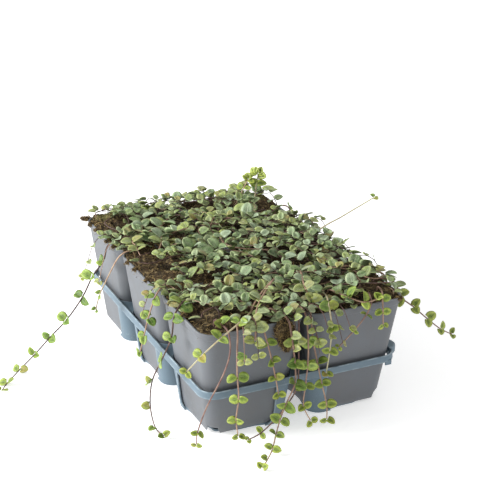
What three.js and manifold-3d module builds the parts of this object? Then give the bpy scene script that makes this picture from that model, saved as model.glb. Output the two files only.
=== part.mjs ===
// Six potted partridge berry plants, grown together into one mat, in their carrying tray.
// Units are millimetres. +Z is up, +X runs along the tray's short side and +Y along its long side.
// The origin is the centre of the tray's foot, on the surface that the tray stands on.

import * as THREE from "three";
import { mergeVertices } from "three/addons/utils/BufferGeometryUtils.js";
import Module from "manifold-3d";

const wasm = await Module();
wasm.setup();

// Driving dimensions of the block of pots
const PITCH = 93;
const COLUMNS = 2;
const ROWS = 3;
const SEAT_GAP = 0.3;
const CORNER_STEPS = 3;

// The square pot, a tapered shell with a band round its rim
const POT_FOOT = 2;
const POT_HEIGHT = 96;
const POT_BASE_HALF = 33;
const POT_TOP_HALF = 45;
const POT_BASE_CORNER = 10;
const POT_TOP_CORNER = 12.5;
const POT_WALL = 1.2;
const BAND_HEIGHT = 6;
const BAND_PROUD = 1;
const BAND_STEP = 0.5;
const RIM = POT_FOOT + POT_HEIGHT;

// The carrying tray
const TRAY_FLOOR = POT_FOOT - SEAT_GAP;
const TRAY_WALL = 1.2;
const PLATE_TOP = 45.6;
const LIP_HEIGHT = 6;
const PLATE_HALF_X = 89.5;
const PLATE_HALF_Y = 136;
const PLATE_CORNER = 14;
const PLATE_CLEARANCE = 0.4;
const CELL_CLEARANCE = 0.9;
const FLOOR_HOLE_RADIUS = 14;
const WINDOW_HALF = 22.5;
const FOOT_HALF_WIDTH = 8;
const LUG_RADIUS = 10;
const LUG_RISE = 0.9;
const LUG_X = 86.6;
const LUG_Y = -116;
const TONGUE = { x: 77, y: -135.4, width: 6, drop: 3.5 };

// The soil, which stands a little below the rim at the wall and higher in the middle
const SOIL_EDGE = 95.2;
const SOIL_CROWN = 6;
const SOIL_LUMP = 0.7;
const SOIL_RINGS = [0.68, 0.36];
const ROOT_DEPTH = 12;
const ROOT_CLEARANCE = 0.9;

// The plant
const STEM_RADIUS = 0.85;
const COLLAR = 1.3;
const BLADE_THICKNESS = 0.65;
// Half of a blade's outline from its broad base to its tip, in shares of its length: along the
// midrib, to the side, and the drop below the base
const BLADE_BASE = [0.26, 0.42, 0];
const BLADE_SHOULDER = [0.74, 0.43, 0.09];
const BLADE_TIP = [1.04, 0, 0.03];
const BLADE_MIDDLE = 0.52;
const MAT_LEAF = 12;
const MAT_NODES = 8;
const MAT_SEED = 43000;
const ROOT_REACH = 27;
const ROOT_SPREAD = 10;
const SPRAYS_PER_POT = 4;
const MAT_LAYERS = [4, 8, 6, 11];
const MAT_CEILING = 116;
const MAT_INSET = 4;
const MAT_YOUNGER = 0.035;
const RUNNER_YOUNGER = 0.35;
const STEP = 11;
const SHOOT_RISE = 4;
const RUNNER_RISE = 3;

// Full widths of the random spreads: of a leaf's lean and lift and a stem's heading in radians, of
// the tilt of the light, and of a leaf's size and a stem's step in shares of them
const LEAN_SPREAD = 0.3;
const LIFT_SPREAD = 0.2;
const HEADING_SPREAD = 0.5;
const TILT_SPREAD = 0.5;
const SIZE_SPREAD = 0.24;
const STEP_SPREAD = 0.2;

// Shares of the light from above and from the side that a stem looks to
const SKYLIGHT = 0.8;
const SIDELIGHT = 0.2;

// Clearances kept while the plant grows, and what a stem or leaf tries in turn to keep them
const BLADE_GAP = 1.6;
const STEM_GAP = 2.2;
const BLOCK_EDGE_GAP = 1;
const RIM_MARGIN = 1.5;
const EDGE_POINTS = 12;
const ROD_POINTS = 6;
const STANCES = [
  { lift: 0.35, lean: 0.15 },
  { lift: 0.6, lean: 0.15 },
  { lift: 0.1, lean: 0 },
  { lift: 0.5, lean: -0.2 },
  { lift: 0.85, lean: 0 },
];
const NARROWEST_FORK = 0.32;
const TURNS = [0, 0.3, -0.3, 0.6, -0.6, 1, -1];
const CLIMBS = [0, 0.3, 0.6, 0.9];
const STEEPEST = 0.4;
const CROWD_REACH = 15;
const TURN_COST = 2.5;

// Patches of soil that show between the leaves: x, y and reach. A leaf above the soil hides what
// lies behind it at the height of the viewer's eye, so it keeps off by COVER for each mm of its height.
const SHOWN_SOIL = [
  [-76, 30, 15],
  [-72, 5, 17],
  [-74, -20, 15],
  [-56, 40, 9],
  [-53, 12, 10],
  [-46, -12, 10],
  [-48, -36, 13],
  [-30, -30, 8],
  [-72, -92, 13],
  [-66, -116, 16],
  [-50, -102, 9],
  [-50, -122, 9],
  [-74, 124, 15],
  [-78, 104, 13],
  [-60, 116, 11],
  [15, 124, 13],
  [80, 100, 13],
  [72, 84, 9],
  [85, 118, 10],
  [84, -90, 11],
  [74, -112, 13],
  [54, -46, 7],
  [53, 43, 7],
  [50, -120, 8],
  [64, -124, 8],
];
const SOIL_LEVEL = 99;
const COVER = [1.066, 2.2];

const COLOURS = {
  tray: 0x8fa6b4,
  pot: 0x777983,
  soil: 0x3b2a20,
  mat: 0x7f9a78,
  runner: 0x8db04a,
};

function material(colour, roughness) {
  return new THREE.MeshStandardMaterial({ color: colour, roughness, metalness: 0, flatShading: true });
}

// Solids

function solidOf(geometry) {
  const bare = geometry.clone();
  bare.deleteAttribute("normal");
  bare.deleteAttribute("uv");
  const merged = mergeVertices(bare, 1e-4);
  return new wasm.Manifold(
    new wasm.Mesh({
      numProp: 3,
      vertProperties: new Float32Array(merged.attributes.position.array),
      triVerts: new Uint32Array(merged.index.array),
    }),
  );
}

function meshOf(name, solid, finish) {
  const result = solid.getMesh();
  const geometry = new THREE.BufferGeometry();
  geometry.setAttribute("position", new THREE.BufferAttribute(result.vertProperties, 3));
  geometry.setIndex(new THREE.BufferAttribute(result.triVerts, 1));
  geometry.computeVertexNormals();
  const mesh = new THREE.Mesh(geometry, finish);
  mesh.name = name;
  return mesh;
}

function geometryOf(points, faces) {
  const geometry = new THREE.BufferGeometry().setFromPoints(points);
  geometry.setIndex(faces.flat());
  return geometry;
}

// A ring of points, anticlockwise from above, round a rectangle with rounded corners.
function roundedRing(halfX, halfY, corner, z) {
  const ring = [];
  for (let quarter = 0; quarter < 4; quarter++) {
    const signX = quarter === 0 || quarter === 3 ? 1 : -1;
    const signY = quarter < 2 ? 1 : -1;
    for (let step = 0; step <= CORNER_STEPS; step++) {
      const angle = (quarter + step / CORNER_STEPS) * (Math.PI / 2);
      const x = signX * (halfX - corner) + corner * Math.cos(angle);
      const y = signY * (halfY - corner) + corner * Math.sin(angle);
      ring.push(new THREE.Vector3(x, y, z));
    }
  }
  return ring;
}

// A closed solid through rings of equal count, capped at both ends.
function loft(rings) {
  const count = rings[0].length;
  const faces = [];
  const last = (rings.length - 1) * count;
  for (let i = 1; i < count - 1; i++) {
    faces.push([0, i + 1, i]);
    faces.push([last, last + i, last + i + 1]);
  }
  for (let level = 0; level < rings.length - 1; level++) {
    for (let i = 0; i < count; i++) {
      const a = level * count + i;
      const b = level * count + ((i + 1) % count);
      faces.push([a, b, b + count]);
      faces.push([a, b + count, a + count]);
    }
  }
  return geometryOf(rings.flat(), faces);
}

function extrusion(shape, low, high) {
  const geometry = new THREE.ExtrudeGeometry(shape, {
    depth: high - low,
    bevelEnabled: false,
    curveSegments: CORNER_STEPS,
  });
  return geometry.translate(0, 0, low);
}

function block(low, high) {
  const size = high.map((value, i) => value - low[i]);
  const middle = high.map((value, i) => (value + low[i]) / 2);
  return new THREE.BoxGeometry(...size).translate(...middle);
}

// Places of the pots

function cellCentres() {
  const cells = [];
  for (let row = 0; row < ROWS; row++) {
    for (let column = 0; column < COLUMNS; column++) {
      const x = (column - (COLUMNS - 1) / 2) * PITCH;
      const y = (row - (ROWS - 1) / 2) * PITCH;
      cells.push({ row, column, x, y });
    }
  }
  return cells;
}

const CELLS = cellCentres();
const CELL_NAMES = ["front_left", "front_right", "middle_left", "middle_right", "back_left", "back_right"];

function potHalf(z) {
  return POT_BASE_HALF + ((POT_TOP_HALF - POT_BASE_HALF) * (z - POT_FOOT)) / POT_HEIGHT;
}

function potCorner(z) {
  return POT_BASE_CORNER + ((POT_TOP_CORNER - POT_BASE_CORNER) * (z - POT_FOOT)) / POT_HEIGHT;
}

// The outline of a pot's outer face at a height, grown by an offset and moved to its cell.
function potRing(z, offset, cell) {
  const half = potHalf(z) + offset;
  const ring = roundedRing(half, half, potCorner(z) + offset, z);
  return ring.map((point) => point.add(new THREE.Vector3(cell.x, cell.y, 0)));
}

function makePot(cell) {
  const bandFoot = RIM - BAND_HEIGHT;
  return solidOf(
    loft([
      potRing(POT_FOOT, 0, cell),
      potRing(bandFoot, 0, cell),
      potRing(bandFoot + BAND_STEP, BAND_PROUD, cell),
      potRing(RIM, BAND_PROUD, cell),
      potRing(RIM, -POT_WALL, cell),
      potRing(POT_FOOT + POT_WALL, -POT_WALL, cell),
    ]),
  );
}

// Height of the soil inside a pot, for a place given from the tray's centre.
function soilHeight(x, y, cell) {
  const reach = Math.max(Math.abs(x - cell.x), Math.abs(y - cell.y)) / POT_TOP_HALF;
  const lumps = Math.sin(x * 0.23 + y * 0.11) * Math.cos(y * 0.19 - x * 0.07);
  return SOIL_EDGE + SOIL_CROWN * (1 - reach * reach) + SOIL_LUMP * lumps;
}

function makeSoil(cell) {
  const inset = -POT_WALL - SEAT_GAP;
  const foot = POT_FOOT + POT_WALL + SEAT_GAP;
  const rim = potRing(SOIL_EDGE, inset, cell);
  const rings = [potRing(foot, inset, cell), rim];
  for (const share of SOIL_RINGS) {
    const ring = rim.map((point) => {
      const x = cell.x + (point.x - cell.x) * share;
      const y = cell.y + (point.y - cell.y) * share;
      return new THREE.Vector3(x, y, soilHeight(x, y, cell));
    });
    rings.push(ring);
  }
  return solidOf(loft(rings));
}

// One cell of the tray: a thin basket round the pot, cut open on its sides so that pillars stay at
// the corners. The tray's own four corners stay open too.
function makeBasket(cell) {
  const outer = CELL_CLEARANCE + TRAY_WALL;
  const top = PLATE_TOP - TRAY_WALL / 2;
  let basket = solidOf(
    loft([
      potRing(0, outer, cell),
      potRing(top, outer, cell),
      potRing(top, CELL_CLEARANCE, cell),
      potRing(TRAY_FLOOR, CELL_CLEARANCE, cell),
    ]),
  );
  const reach = PITCH / 2;
  const open = (lowX, highX, lowY, highY) =>
    block([cell.x + lowX, cell.y + lowY, TRAY_FLOOR], [cell.x + highX, cell.y + highY, PLATE_TOP]);
  let cutter = solidOf(open(-reach, reach, -WINDOW_HALF, WINDOW_HALF));
  cutter = cutter.add(solidOf(open(-WINDOW_HALF, WINDOW_HALF, -reach, reach)));
  if (cell.row !== 1) {
    const atLeft = cell.column === 0;
    const atFront = cell.row === 0;
    const spanX = atLeft ? [-reach, 0] : [0, reach];
    const spanY = atFront ? [-reach, 0] : [0, reach];
    cutter = cutter.add(solidOf(open(...spanX, ...spanY)));
  }
  basket = basket.subtract(cutter);
  const hole = new THREE.Shape().absarc(cell.x, cell.y, FLOOR_HOLE_RADIUS, 0, 2 * Math.PI);
  return basket.subtract(solidOf(extrusion(hole, -1, TRAY_FLOOR + 1)));
}

function roundedShape(halfX, halfY, corner, x = 0, y = 0) {
  const ring = roundedRing(halfX, halfY, corner, 0);
  return new THREE.Shape(ring.map((point) => new THREE.Vector2(point.x + x, point.y + y)));
}

function makeTray() {
  const plate = roundedShape(PLATE_HALF_X, PLATE_HALF_Y, PLATE_CORNER);
  const holeHalf = potHalf(PLATE_TOP) + PLATE_CLEARANCE;
  const holeCorner = potCorner(PLATE_TOP) + PLATE_CLEARANCE;
  for (const cell of CELLS) plate.holes.push(roundedShape(holeHalf, holeHalf, holeCorner, cell.x, cell.y));
  let tray = solidOf(extrusion(plate, PLATE_TOP - TRAY_WALL, PLATE_TOP));

  const lip = roundedShape(PLATE_HALF_X, PLATE_HALF_Y, PLATE_CORNER);
  lip.holes.push(roundedShape(PLATE_HALF_X - TRAY_WALL, PLATE_HALF_Y - TRAY_WALL, PLATE_CORNER - TRAY_WALL));
  tray = tray.add(solidOf(extrusion(lip, PLATE_TOP - LIP_HEIGHT, PLATE_TOP)));

  const lug = new THREE.Shape().absarc(LUG_X, LUG_Y, LUG_RADIUS, -Math.PI / 2, Math.PI / 2);
  tray = tray.add(solidOf(extrusion(lug, PLATE_TOP - LIP_HEIGHT, PLATE_TOP + LUG_RISE)));
  const tongueLow = [TONGUE.x, TONGUE.y, PLATE_TOP - LIP_HEIGHT - TONGUE.drop];
  const tongueHigh = [TONGUE.x + TONGUE.width, TONGUE.y + TRAY_WALL, PLATE_TOP - LIP_HEIGHT + 1];
  tray = tray.add(solidOf(block(tongueLow, tongueHigh)));

  for (const cell of CELLS) tray = tray.add(makeBasket(cell));
  const footReach = PITCH / 2 - POT_BASE_HALF + 1;
  const foot = block([-footReach, -FOOT_HALF_WIDTH, 0], [footReach, FOOT_HALF_WIDTH, TRAY_FLOOR]);
  return tray.add(solidOf(foot));
}

// Growth. Every draw comes from a small seeded generator, so the same plant grows each time.

function seeded(seed) {
  let state = seed;
  const draw = () => {
    state = (state * 1664525 + 1013904223) % 4294967296;
    return state / 4294967296;
  };
  for (let i = 0; i < 4; i++) draw();
  return draw;
}

// A draw from a spread of the given width about zero
const spread = (draw, width) => width * (draw() - 0.5);

// Small vector sums on plain lists
const add = (a, b, scale = 1) => [a[0] + b[0] * scale, a[1] + b[1] * scale, a[2] + b[2] * scale];
const sub = (a, b) => [a[0] - b[0], a[1] - b[1], a[2] - b[2]];
const dot = (a, b) => a[0] * b[0] + a[1] * b[1] + a[2] * b[2];
const length = (a) => Math.sqrt(dot(a, a));
const times = (a, scale) => [a[0] * scale, a[1] * scale, a[2] * scale];
const unit = (a) => times(a, 1 / length(a));
const cross = (a, b) => [a[1] * b[2] - a[2] * b[1], a[2] * b[0] - a[0] * b[2], a[0] * b[1] - a[1] * b[0]];
const clamp = (value, low, high) => Math.min(high, Math.max(low, value));
const toVector = (a) => new THREE.Vector3(...a);
const UP = [0, 0, 1];

const BLOCK_HALF_X = (COLUMNS * PITCH) / 2;
const BLOCK_HALF_Y = (ROWS * PITCH) / 2;

function cellAt(x, y) {
  const column = clamp(Math.floor((x + BLOCK_HALF_X) / PITCH), 0, COLUMNS - 1);
  const row = clamp(Math.floor((y + BLOCK_HALF_Y) / PITCH), 0, ROWS - 1);
  return CELLS[row * COLUMNS + column];
}

// The height below which nothing of the plant may lie, at a place seen from above.
function groundAt(x, y) {
  const outside = BLOCK_EDGE_GAP;
  if (Math.abs(x) > BLOCK_HALF_X + outside || Math.abs(y) > BLOCK_HALF_Y + outside) return 0;
  const cell = cellAt(x, y);
  const reach = Math.max(Math.abs(x - cell.x), Math.abs(y - cell.y));
  return reach > POT_TOP_HALF - POT_WALL - RIM_MARGIN ? RIM : soilHeight(x, y, cell);
}

// Shortest distance from a point to a round flat blade
function toBlade(point, blade) {
  const away = sub(point, blade.centre);
  const off = dot(away, blade.face);
  const flat = Math.sqrt(Math.max(0, dot(away, away) - off * off));
  const past = Math.max(0, flat - blade.radius);
  return Math.sqrt(off * off + past * past);
}

// Shortest distance from a point to a straight piece of stem
function toRod(point, rod) {
  const along = sub(rod.to, rod.from);
  const share = clamp(dot(sub(point, rod.from), along) / dot(along, along), 0, 1);
  return length(sub(point, add(rod.from, along, share)));
}

// Points spread over a blade, at its centre, half way out and on its edge
function bladePoints(blade) {
  const points = [blade.centre];
  for (let i = 0; i < EDGE_POINTS; i++) {
    const angle = (2 * Math.PI * i) / EDGE_POINTS;
    const spoke = add(times(blade.axis, Math.cos(angle)), blade.across, Math.sin(angle));
    points.push(add(blade.centre, spoke, blade.radius));
    if (i % 2) points.push(add(blade.centre, spoke, blade.radius / 2));
  }
  return points;
}

function rodPoints(rod) {
  const points = [];
  for (let i = 0; i <= ROD_POINTS; i++) {
    points.push(add(rod.from, sub(rod.to, rod.from), i / ROD_POINTS));
  }
  return points;
}

// Whether a leaf lies too close along a piece of stem that meets it at its root
function forkIsNarrow(rod, blade) {
  const away = rod.from === blade.root ? sub(rod.to, rod.from) : sub(rod.from, rod.to);
  return dot(unit(away), blade.axis) > NARROWEST_FORK;
}

function bladeIsClear(blade, grown, gap) {
  if (blade.points.some((point) => point[2] < groundAt(point[0], point[1]) + gap * 0.75)) return false;
  for (const other of grown.blades) {
    if (other.root === blade.root) continue;
    if (length(sub(other.centre, blade.centre)) > other.radius + blade.radius + gap) continue;
    if (blade.points.some((point) => toBlade(point, other) < gap)) return false;
    if (other.points.some((point) => toBlade(point, blade) < gap)) return false;
  }
  for (const rod of grown.rods) {
    if (rod.from === blade.root || rod.to === blade.root) {
      if (forkIsNarrow(rod, blade)) return false;
      continue;
    }
    if (length(sub(rod.middle, blade.centre)) > rod.half + blade.radius + gap) continue;
    if (blade.points.some((point) => toRod(point, rod) < gap)) return false;
    if (rod.points.some((point) => toBlade(point, blade) < gap)) return false;
  }
  return true;
}

function rodIsClear(rod, grown, gap) {
  if (rod.points.some((point) => point[2] < groundAt(point[0], point[1]) + gap * 0.6)) return false;
  for (const blade of grown.blades) {
    if (blade.root === rod.from) continue;
    if (length(sub(rod.middle, blade.centre)) > rod.half + blade.radius + gap) continue;
    if (rod.points.some((point) => toBlade(point, blade) < gap)) return false;
    if (blade.points.some((point) => toRod(point, rod) < gap)) return false;
  }
  for (const other of grown.rods) {
    if (other.stem === rod.stem) continue;
    if (length(sub(rod.middle, other.middle)) > rod.half + other.half + gap) continue;
    if (rod.points.some((point) => toRod(point, other) < gap)) return false;
    if (other.points.some((point) => toRod(point, rod) < gap)) return false;
  }
  return true;
}

function makeRod(stem, from, to) {
  const rod = { stem, from, to, half: length(sub(to, from)) / 2, middle: times(add(from, to), 0.5) };
  rod.points = rodPoints(rod);
  return rod;
}

// A leaf that stands out of its stem. Its axis leans forward along the stem and lifts towards the
// light, and its face looks to the light as far as the axis lets it.
function makeBlade(stem, root, forward, light, side, size, { lean, lift }) {
  const sideways = unit(cross(forward, light));
  const above = cross(sideways, forward);
  const level = add(times(sideways, side * Math.cos(lean)), forward, Math.sin(lean));
  const axis = unit(add(times(level, Math.cos(lift)), above, Math.sin(lift)));
  const face = unit(add(light, axis, -dot(light, axis)));
  const blade = { stem, root, side, axis, face, across: cross(face, axis), size, radius: size / 2 };
  blade.centre = add(root, axis, size * BLADE_MIDDLE);
  blade.points = bladePoints(blade);
  return blade;
}

function coversShownSoil(blade) {
  const height = blade.centre[2] - SOIL_LEVEL;
  const x = blade.centre[0] + COVER[0] * height;
  const y = blade.centre[1] + COVER[1] * height;
  return SHOWN_SOIL.some((patch) => Math.hypot(x - patch[0], y - patch[1]) < patch[2]);
}

// Direction of a stem at one of its points, half way between its two pieces there
function directionAt(points, i) {
  const after = unit(sub(points[Math.min(i + 1, points.length - 1)], points[Math.min(i, points.length - 2)]));
  return i > 0 ? unit(add(after, unit(sub(points[i], points[i - 1])))) : after;
}

// The pair of leaves at a node. Each takes the first stance that is clear, or is left out.
function leafPair(stem, i, size, draw, grown) {
  const root = stem.points[i];
  const forward = directionAt(stem.points, i);
  const light = lightOn(stem, forward);
  const pair = [];
  for (const side of [-1, 1]) {
    const lean = spread(draw, LEAN_SPREAD);
    const lift = spread(draw, LIFT_SPREAD);
    const own = size * (1 + spread(draw, SIZE_SPREAD));
    const tilted = unit(add(light, [spread(draw, TILT_SPREAD), spread(draw, TILT_SPREAD), 0]));
    for (const stance of STANCES) {
      const pose = { lean: stance.lean + lean, lift: stance.lift + lift };
      const blade = makeBlade(stem, root, forward, tilted, side, own, pose);
      if (stem.keepsOffShownSoil && coversShownSoil(blade)) continue;
      if (!bladeIsClear(blade, grown, BLADE_GAP)) continue;
      pair.push(blade);
      break;
    }
  }
  grown.blades.push(...pair);
  stem.leaves.push(...pair);
}

// How crowded a place is, seen from above
function crowding([x, y], grown) {
  const isNear = (place) => Math.hypot(place[0] - x, place[1] - y) < CROWD_REACH;
  const leaves = grown.blades.filter((blade) => isNear(blade.centre));
  const rods = grown.rods.filter((rod) => isNear(rod.middle));
  return leaves.length + rods.length;
}

// The next piece of a creeping stem: towards open ground if it can, else climbing.
function nextRod(stem, here, heading, stride, grown) {
  for (const climb of CLIMBS) {
    const open = [];
    for (const turn of TURNS) {
      const bearing = heading + turn;
      const x = here[0] + stride * Math.cos(bearing);
      const y = here[1] + stride * Math.sin(bearing);
      if (Math.abs(x) > BLOCK_HALF_X - MAT_INSET || Math.abs(y) > BLOCK_HALF_Y - MAT_INSET) continue;
      const wanted = Math.max(groundAt(x, y), RIM) + stem.layer;
      const slope = clamp((wanted - here[2]) / stride, -STEEPEST, STEEPEST) + climb;
      const run = stride / Math.sqrt(1 + slope * slope);
      const ahead = [Math.cos(bearing), Math.sin(bearing), slope];
      const rod = makeRod(stem, here, add(here, ahead, run));
      if (rod.to[2] > MAT_CEILING || !rodIsClear(rod, grown, STEM_GAP)) continue;
      const cost = crowding(add(here, ahead, 2 * run), grown) + TURN_COST * Math.abs(turn);
      open.push({ rod, bearing, cost });
    }
    if (open.length) return open.reduce((best, next) => (next.cost < best.cost ? next : best));
  }
  return null;
}

function plantRoot(stem, x, y, rise, grown) {
  const surface = soilHeight(x, y, cellAt(x, y));
  const foot = [x, y, surface - ROOT_DEPTH];
  const top = [x, y, surface + rise];
  stem.points.push(foot, top);
  grown.rods.push(makeRod(stem, foot, top));
  return top;
}

// A creeping stem rises from the soil, then runs on over whatever lies in its way.
function startStem(stem, grown) {
  stem.draw = seeded(stem.seed);
  plantRoot(stem, stem.x, stem.y, SHOOT_RISE, grown);
}

// One more piece of stem, then the leaves at the node that it grew from.
function growStem(stem, grown) {
  if (stem.ended) return;
  const last = stem.points.length - 1;
  const here = stem.points[last];
  stem.heading += spread(stem.draw, HEADING_SPREAD);
  const stride = STEP * (1 + spread(stem.draw, STEP_SPREAD));
  const found = nextRod(stem, here, stem.heading, stride, grown);
  if (found) {
    stem.heading = found.bearing;
    grown.rods.push(found.rod);
    stem.points.push(found.rod.to);
  }
  stem.ended = !found || last > MAT_NODES;
  if (last >= 2) leafPair(stem, last, stem.leaf * (1 - MAT_YOUNGER * last), stem.draw, grown);
}

// A runner follows its route by hand. All runners are laid before any gets its leaves.
function layRunner(stem, grown) {
  const [[x, y], ...rest] = stem.route;
  let here = plantRoot(stem, x, y, RUNNER_RISE, grown);
  for (const point of rest) {
    grown.rods.push(makeRod(stem, here, point));
    stem.points.push(point);
    here = point;
  }
}

// A stem that hangs looks to the side that it hangs on, the more so the more steeply it hangs.
function lightOn(stem, forward) {
  if (!stem.look) return UP;
  return unit(add([0, 0, SKYLIGHT], stem.look, SIDELIGHT + Math.max(0, -forward[2])));
}

function leafRunner(stem, grown) {
  const draw = seeded(stem.seed);
  const last = stem.points.length - 1;
  for (let i = stem.firstLeaf; i <= last; i++) {
    leafPair(stem, i, stem.leaf * (1 - RUNNER_YOUNGER * (i / last) ** 3), draw, grown);
  }
}

// The runners that hang over the pots: where each roots, then the places that it passes.
// They look to the side that they hang on.
const LEFT = [-1, -0.35, 0];
const FRONT = [-0.35, -1, 0];
const RIGHT = [1, -0.35, 0];
const BACK = [0, 1, 0];
const OPEN = [-0.4, -0.6, 0];
const TILTED = [-1.4, -3, 0];

const RUNNERS = [
  {
    name: "runner_left_long",
    look: LEFT,
    leaf: 10,
    firstLeaf: 4,
    route: [
      [-82, 63],
      [-89, 62, 103],
      [-97, 62, 98],
      [-101, 62, 85],
      [-112, 61, 72],
      [-123, 58, 55],
      [-140, 53, 38],
      [-157, 49, 26],
      [-173, 45, 14],
      [-189, 39, 5],
      [-204, 26, 1.6],
      [-212, 15, 1.5],
    ],
  },
  {
    name: "runner_left_back",
    look: LEFT,
    leaf: 8,
    firstLeaf: 5,
    route: [
      [-82, 34],
      [-89, 33, 103],
      [-97, 35, 97],
      [-102, 46, 77],
      [-109, 51, 58],
      [-113, 52, 43],
    ],
  },
  {
    name: "runner_left_middle",
    look: LEFT,
    leaf: 9.5,
    firstLeaf: 3,
    route: [
      [-80, -40],
      [-88, -48, 103.5],
      [-97, -53, 97],
      [-101, -47, 76],
      [-103, -42, 58],
      [-104, -35, 40],
    ],
  },
  {
    name: "runner_left_front",
    look: LEFT,
    leaf: 9.5,
    firstLeaf: 2,
    route: [
      [-79, -80],
      [-88, -87, 104],
      [-97.5, -94, 97],
      [-101, -97, 81],
      [-105, -87, 58],
      [-110, -77, 34],
      [-114, -82, 15],
      [-116, -97, 3],
      [-114, -111, 1.6],
    ],
  },
  {
    name: "runner_corner",
    look: FRONT,
    leaf: 9.5,
    firstLeaf: 3,
    route: [
      [-38, -112],
      [-46, -127, 106],
      [-62, -140, 105.5],
      [-82, -147.5, 99],
      [-98, -149.5, 89],
      [-110, -149, 78],
    ],
  },
  {
    name: "runner_front_slanting",
    look: FRONT,
    leaf: 8,
    firstLeaf: 7,
    route: [
      [-75, -122],
      [-74, -132, 103],
      [-73, -143, 101],
      [-73, -147, 86],
      [-79, -148, 68],
      [-93, -149, 44],
      [-101, -149, 23],
      [-101, -147, 11],
    ],
  },
  {
    name: "runner_front_left",
    look: FRONT,
    leaf: 9.5,
    firstLeaf: 4,
    route: [
      [-60, -122],
      [-62, -132, 103],
      [-65, -143, 100.5],
      [-67, -147, 83],
      [-67, -148, 64],
      [-66, -149, 45],
      [-68, -149, 26],
      [-66, -149, 11],
    ],
  },
  {
    name: "runner_front_second",
    look: FRONT,
    leaf: 9,
    firstLeaf: 4,
    route: [
      [-47, -123],
      [-46, -133, 102],
      [-44, -143, 100.5],
      [-41, -147, 87],
      [-37, -148, 71],
      [-34, -149, 56],
      [-31, -149, 41],
    ],
  },
  {
    name: "runner_front_brown",
    look: FRONT,
    leaf: 7,
    firstLeaf: 8,
    route: [
      [-14, -121],
      [-13, -132, 103],
      [-12, -143, 100.5],
      [-13, -146.5, 80],
      [-13, -148, 60],
      [-15, -149, 41],
      [-29, -149, 22],
      [-45, -149, 9],
      [-57, -149, 5],
    ],
  },
  {
    name: "runner_front_long",
    look: FRONT,
    leaf: 9.5,
    firstLeaf: 4,
    route: [
      [-27, -121],
      [-25, -133, 104],
      [-21, -143, 101],
      [-19, -147, 84],
      [-18, -150.5, 67],
      [-19, -154, 50],
      [-27, -155, 34],
      [-33, -157, 22],
      [-38, -160, 11],
      [-45, -168, 4],
      [-53, -176, 1.6],
      [-62, -185, 1.5],
    ],
  },
  {
    name: "runner_front_cluster",
    look: FRONT,
    leaf: 9,
    firstLeaf: 4,
    route: [
      [-8, -116],
      [-7, -131, 106.5],
      [-6, -143.5, 103],
      [-6, -149.5, 84],
      [-7, -152, 64],
      [-9, -153, 45],
      [-10, -153, 27],
      [-3, -153, 12],
    ],
  },
  {
    name: "runner_front_middle",
    look: FRONT,
    leaf: 10,
    firstLeaf: 4,
    route: [
      [9, -122],
      [3, -133, 105],
      [-1, -143, 101.5],
      [0, -147, 80],
      [4, -148, 61],
      [8, -149, 42],
      [13, -150, 22],
      [14, -150, 8],
    ],
  },
  {
    name: "runner_front_pale",
    look: FRONT,
    leaf: 9,
    firstLeaf: 3,
    route: [
      [25, -112],
      [22, -126, 107],
      [15, -143, 107],
      [16, -147.5, 90],
      [15, -148, 70],
      [12, -149, 50],
    ],
  },
  {
    name: "runner_front_dry",
    look: FRONT,
    leaf: 6,
    firstLeaf: 4,
    route: [
      [62, -125],
      [58, -135, 104],
      [54, -144, 102],
      [48, -147, 94],
      [37, -148, 83],
      [23, -148.5, 71],
    ],
  },
  {
    name: "runner_rim",
    look: OPEN,
    leaf: 10,
    firstLeaf: 3,
    route: [
      [33, -110],
      [34, -123, 106],
      [37, -136, 107],
      [47, -145, 104.5],
      [58, -146.5, 106],
    ],
  },
  {
    name: "runner_droop",
    look: FRONT,
    leaf: 8,
    firstLeaf: 3,
    route: [
      [74, -120],
      [71, -132, 104.5],
      [65, -143, 104.5],
      [63, -148, 95],
      [64, -148, 83],
    ],
  },
  {
    name: "runner_right_long",
    look: FRONT,
    leaf: 9.5,
    firstLeaf: 4,
    route: [
      [78, -106],
      [87, -111, 104.5],
      [97, -113.5, 98.5],
      [102, -113, 86],
      [117, -112, 73],
      [132, -112, 59],
      [147, -112, 46],
      [160, -112, 38],
    ],
  },
  {
    name: "runner_right_whip",
    look: TILTED,
    leaf: 9,
    firstLeaf: 7,
    route: [
      [78, 4],
      [88, 6, 105],
      [99, 9, 108],
      [116, 15, 110],
      [134, 20, 114],
      [148, 21, 119],
      [155, 21, 122],
    ],
  },
  {
    name: "runner_right_back",
    look: RIGHT,
    leaf: 9.5,
    firstLeaf: 3,
    route: [
      [79, 76],
      [88, 79, 104],
      [97.5, 81, 98],
      [101, 85, 80],
      [103, 91, 62],
      [105, 97, 44],
      [107, 99, 27],
    ],
  },
  {
    name: "runner_back_left",
    look: BACK,
    leaf: 9,
    firstLeaf: 3,
    route: [
      [-45, 124],
      [-46, 134, 104],
      [-49, 144, 99],
      [-52, 148, 82],
      [-53, 150, 64],
    ],
  },
  {
    name: "runner_back_right",
    look: BACK,
    leaf: 9.5,
    firstLeaf: 3,
    route: [
      [28, 124],
      [28, 134, 104],
      [30, 144.5, 99],
      [33, 149, 81],
      [38, 151, 63],
      [43, 153, 45],
      [47, 156, 27],
      [55, 161, 9],
      [67, 168, 1.8],
    ],
  },
  {
    name: "sprig_top",
    look: TILTED,
    leaf: 10.5,
    firstLeaf: 4,
    route: [
      [62, 84],
      [64, 91, 105],
      [68, 98, 111],
      [71, 101, 121],
      [73, 102, 131],
    ],
  },
  {
    name: "sprig_low",
    look: TILTED,
    leaf: 9.5,
    firstLeaf: 4,
    route: [
      [42, 92],
      [47, 96, 106],
      [53, 100, 112],
      [57, 100, 120],
      [62, 101, 127],
    ],
  },
];

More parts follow.
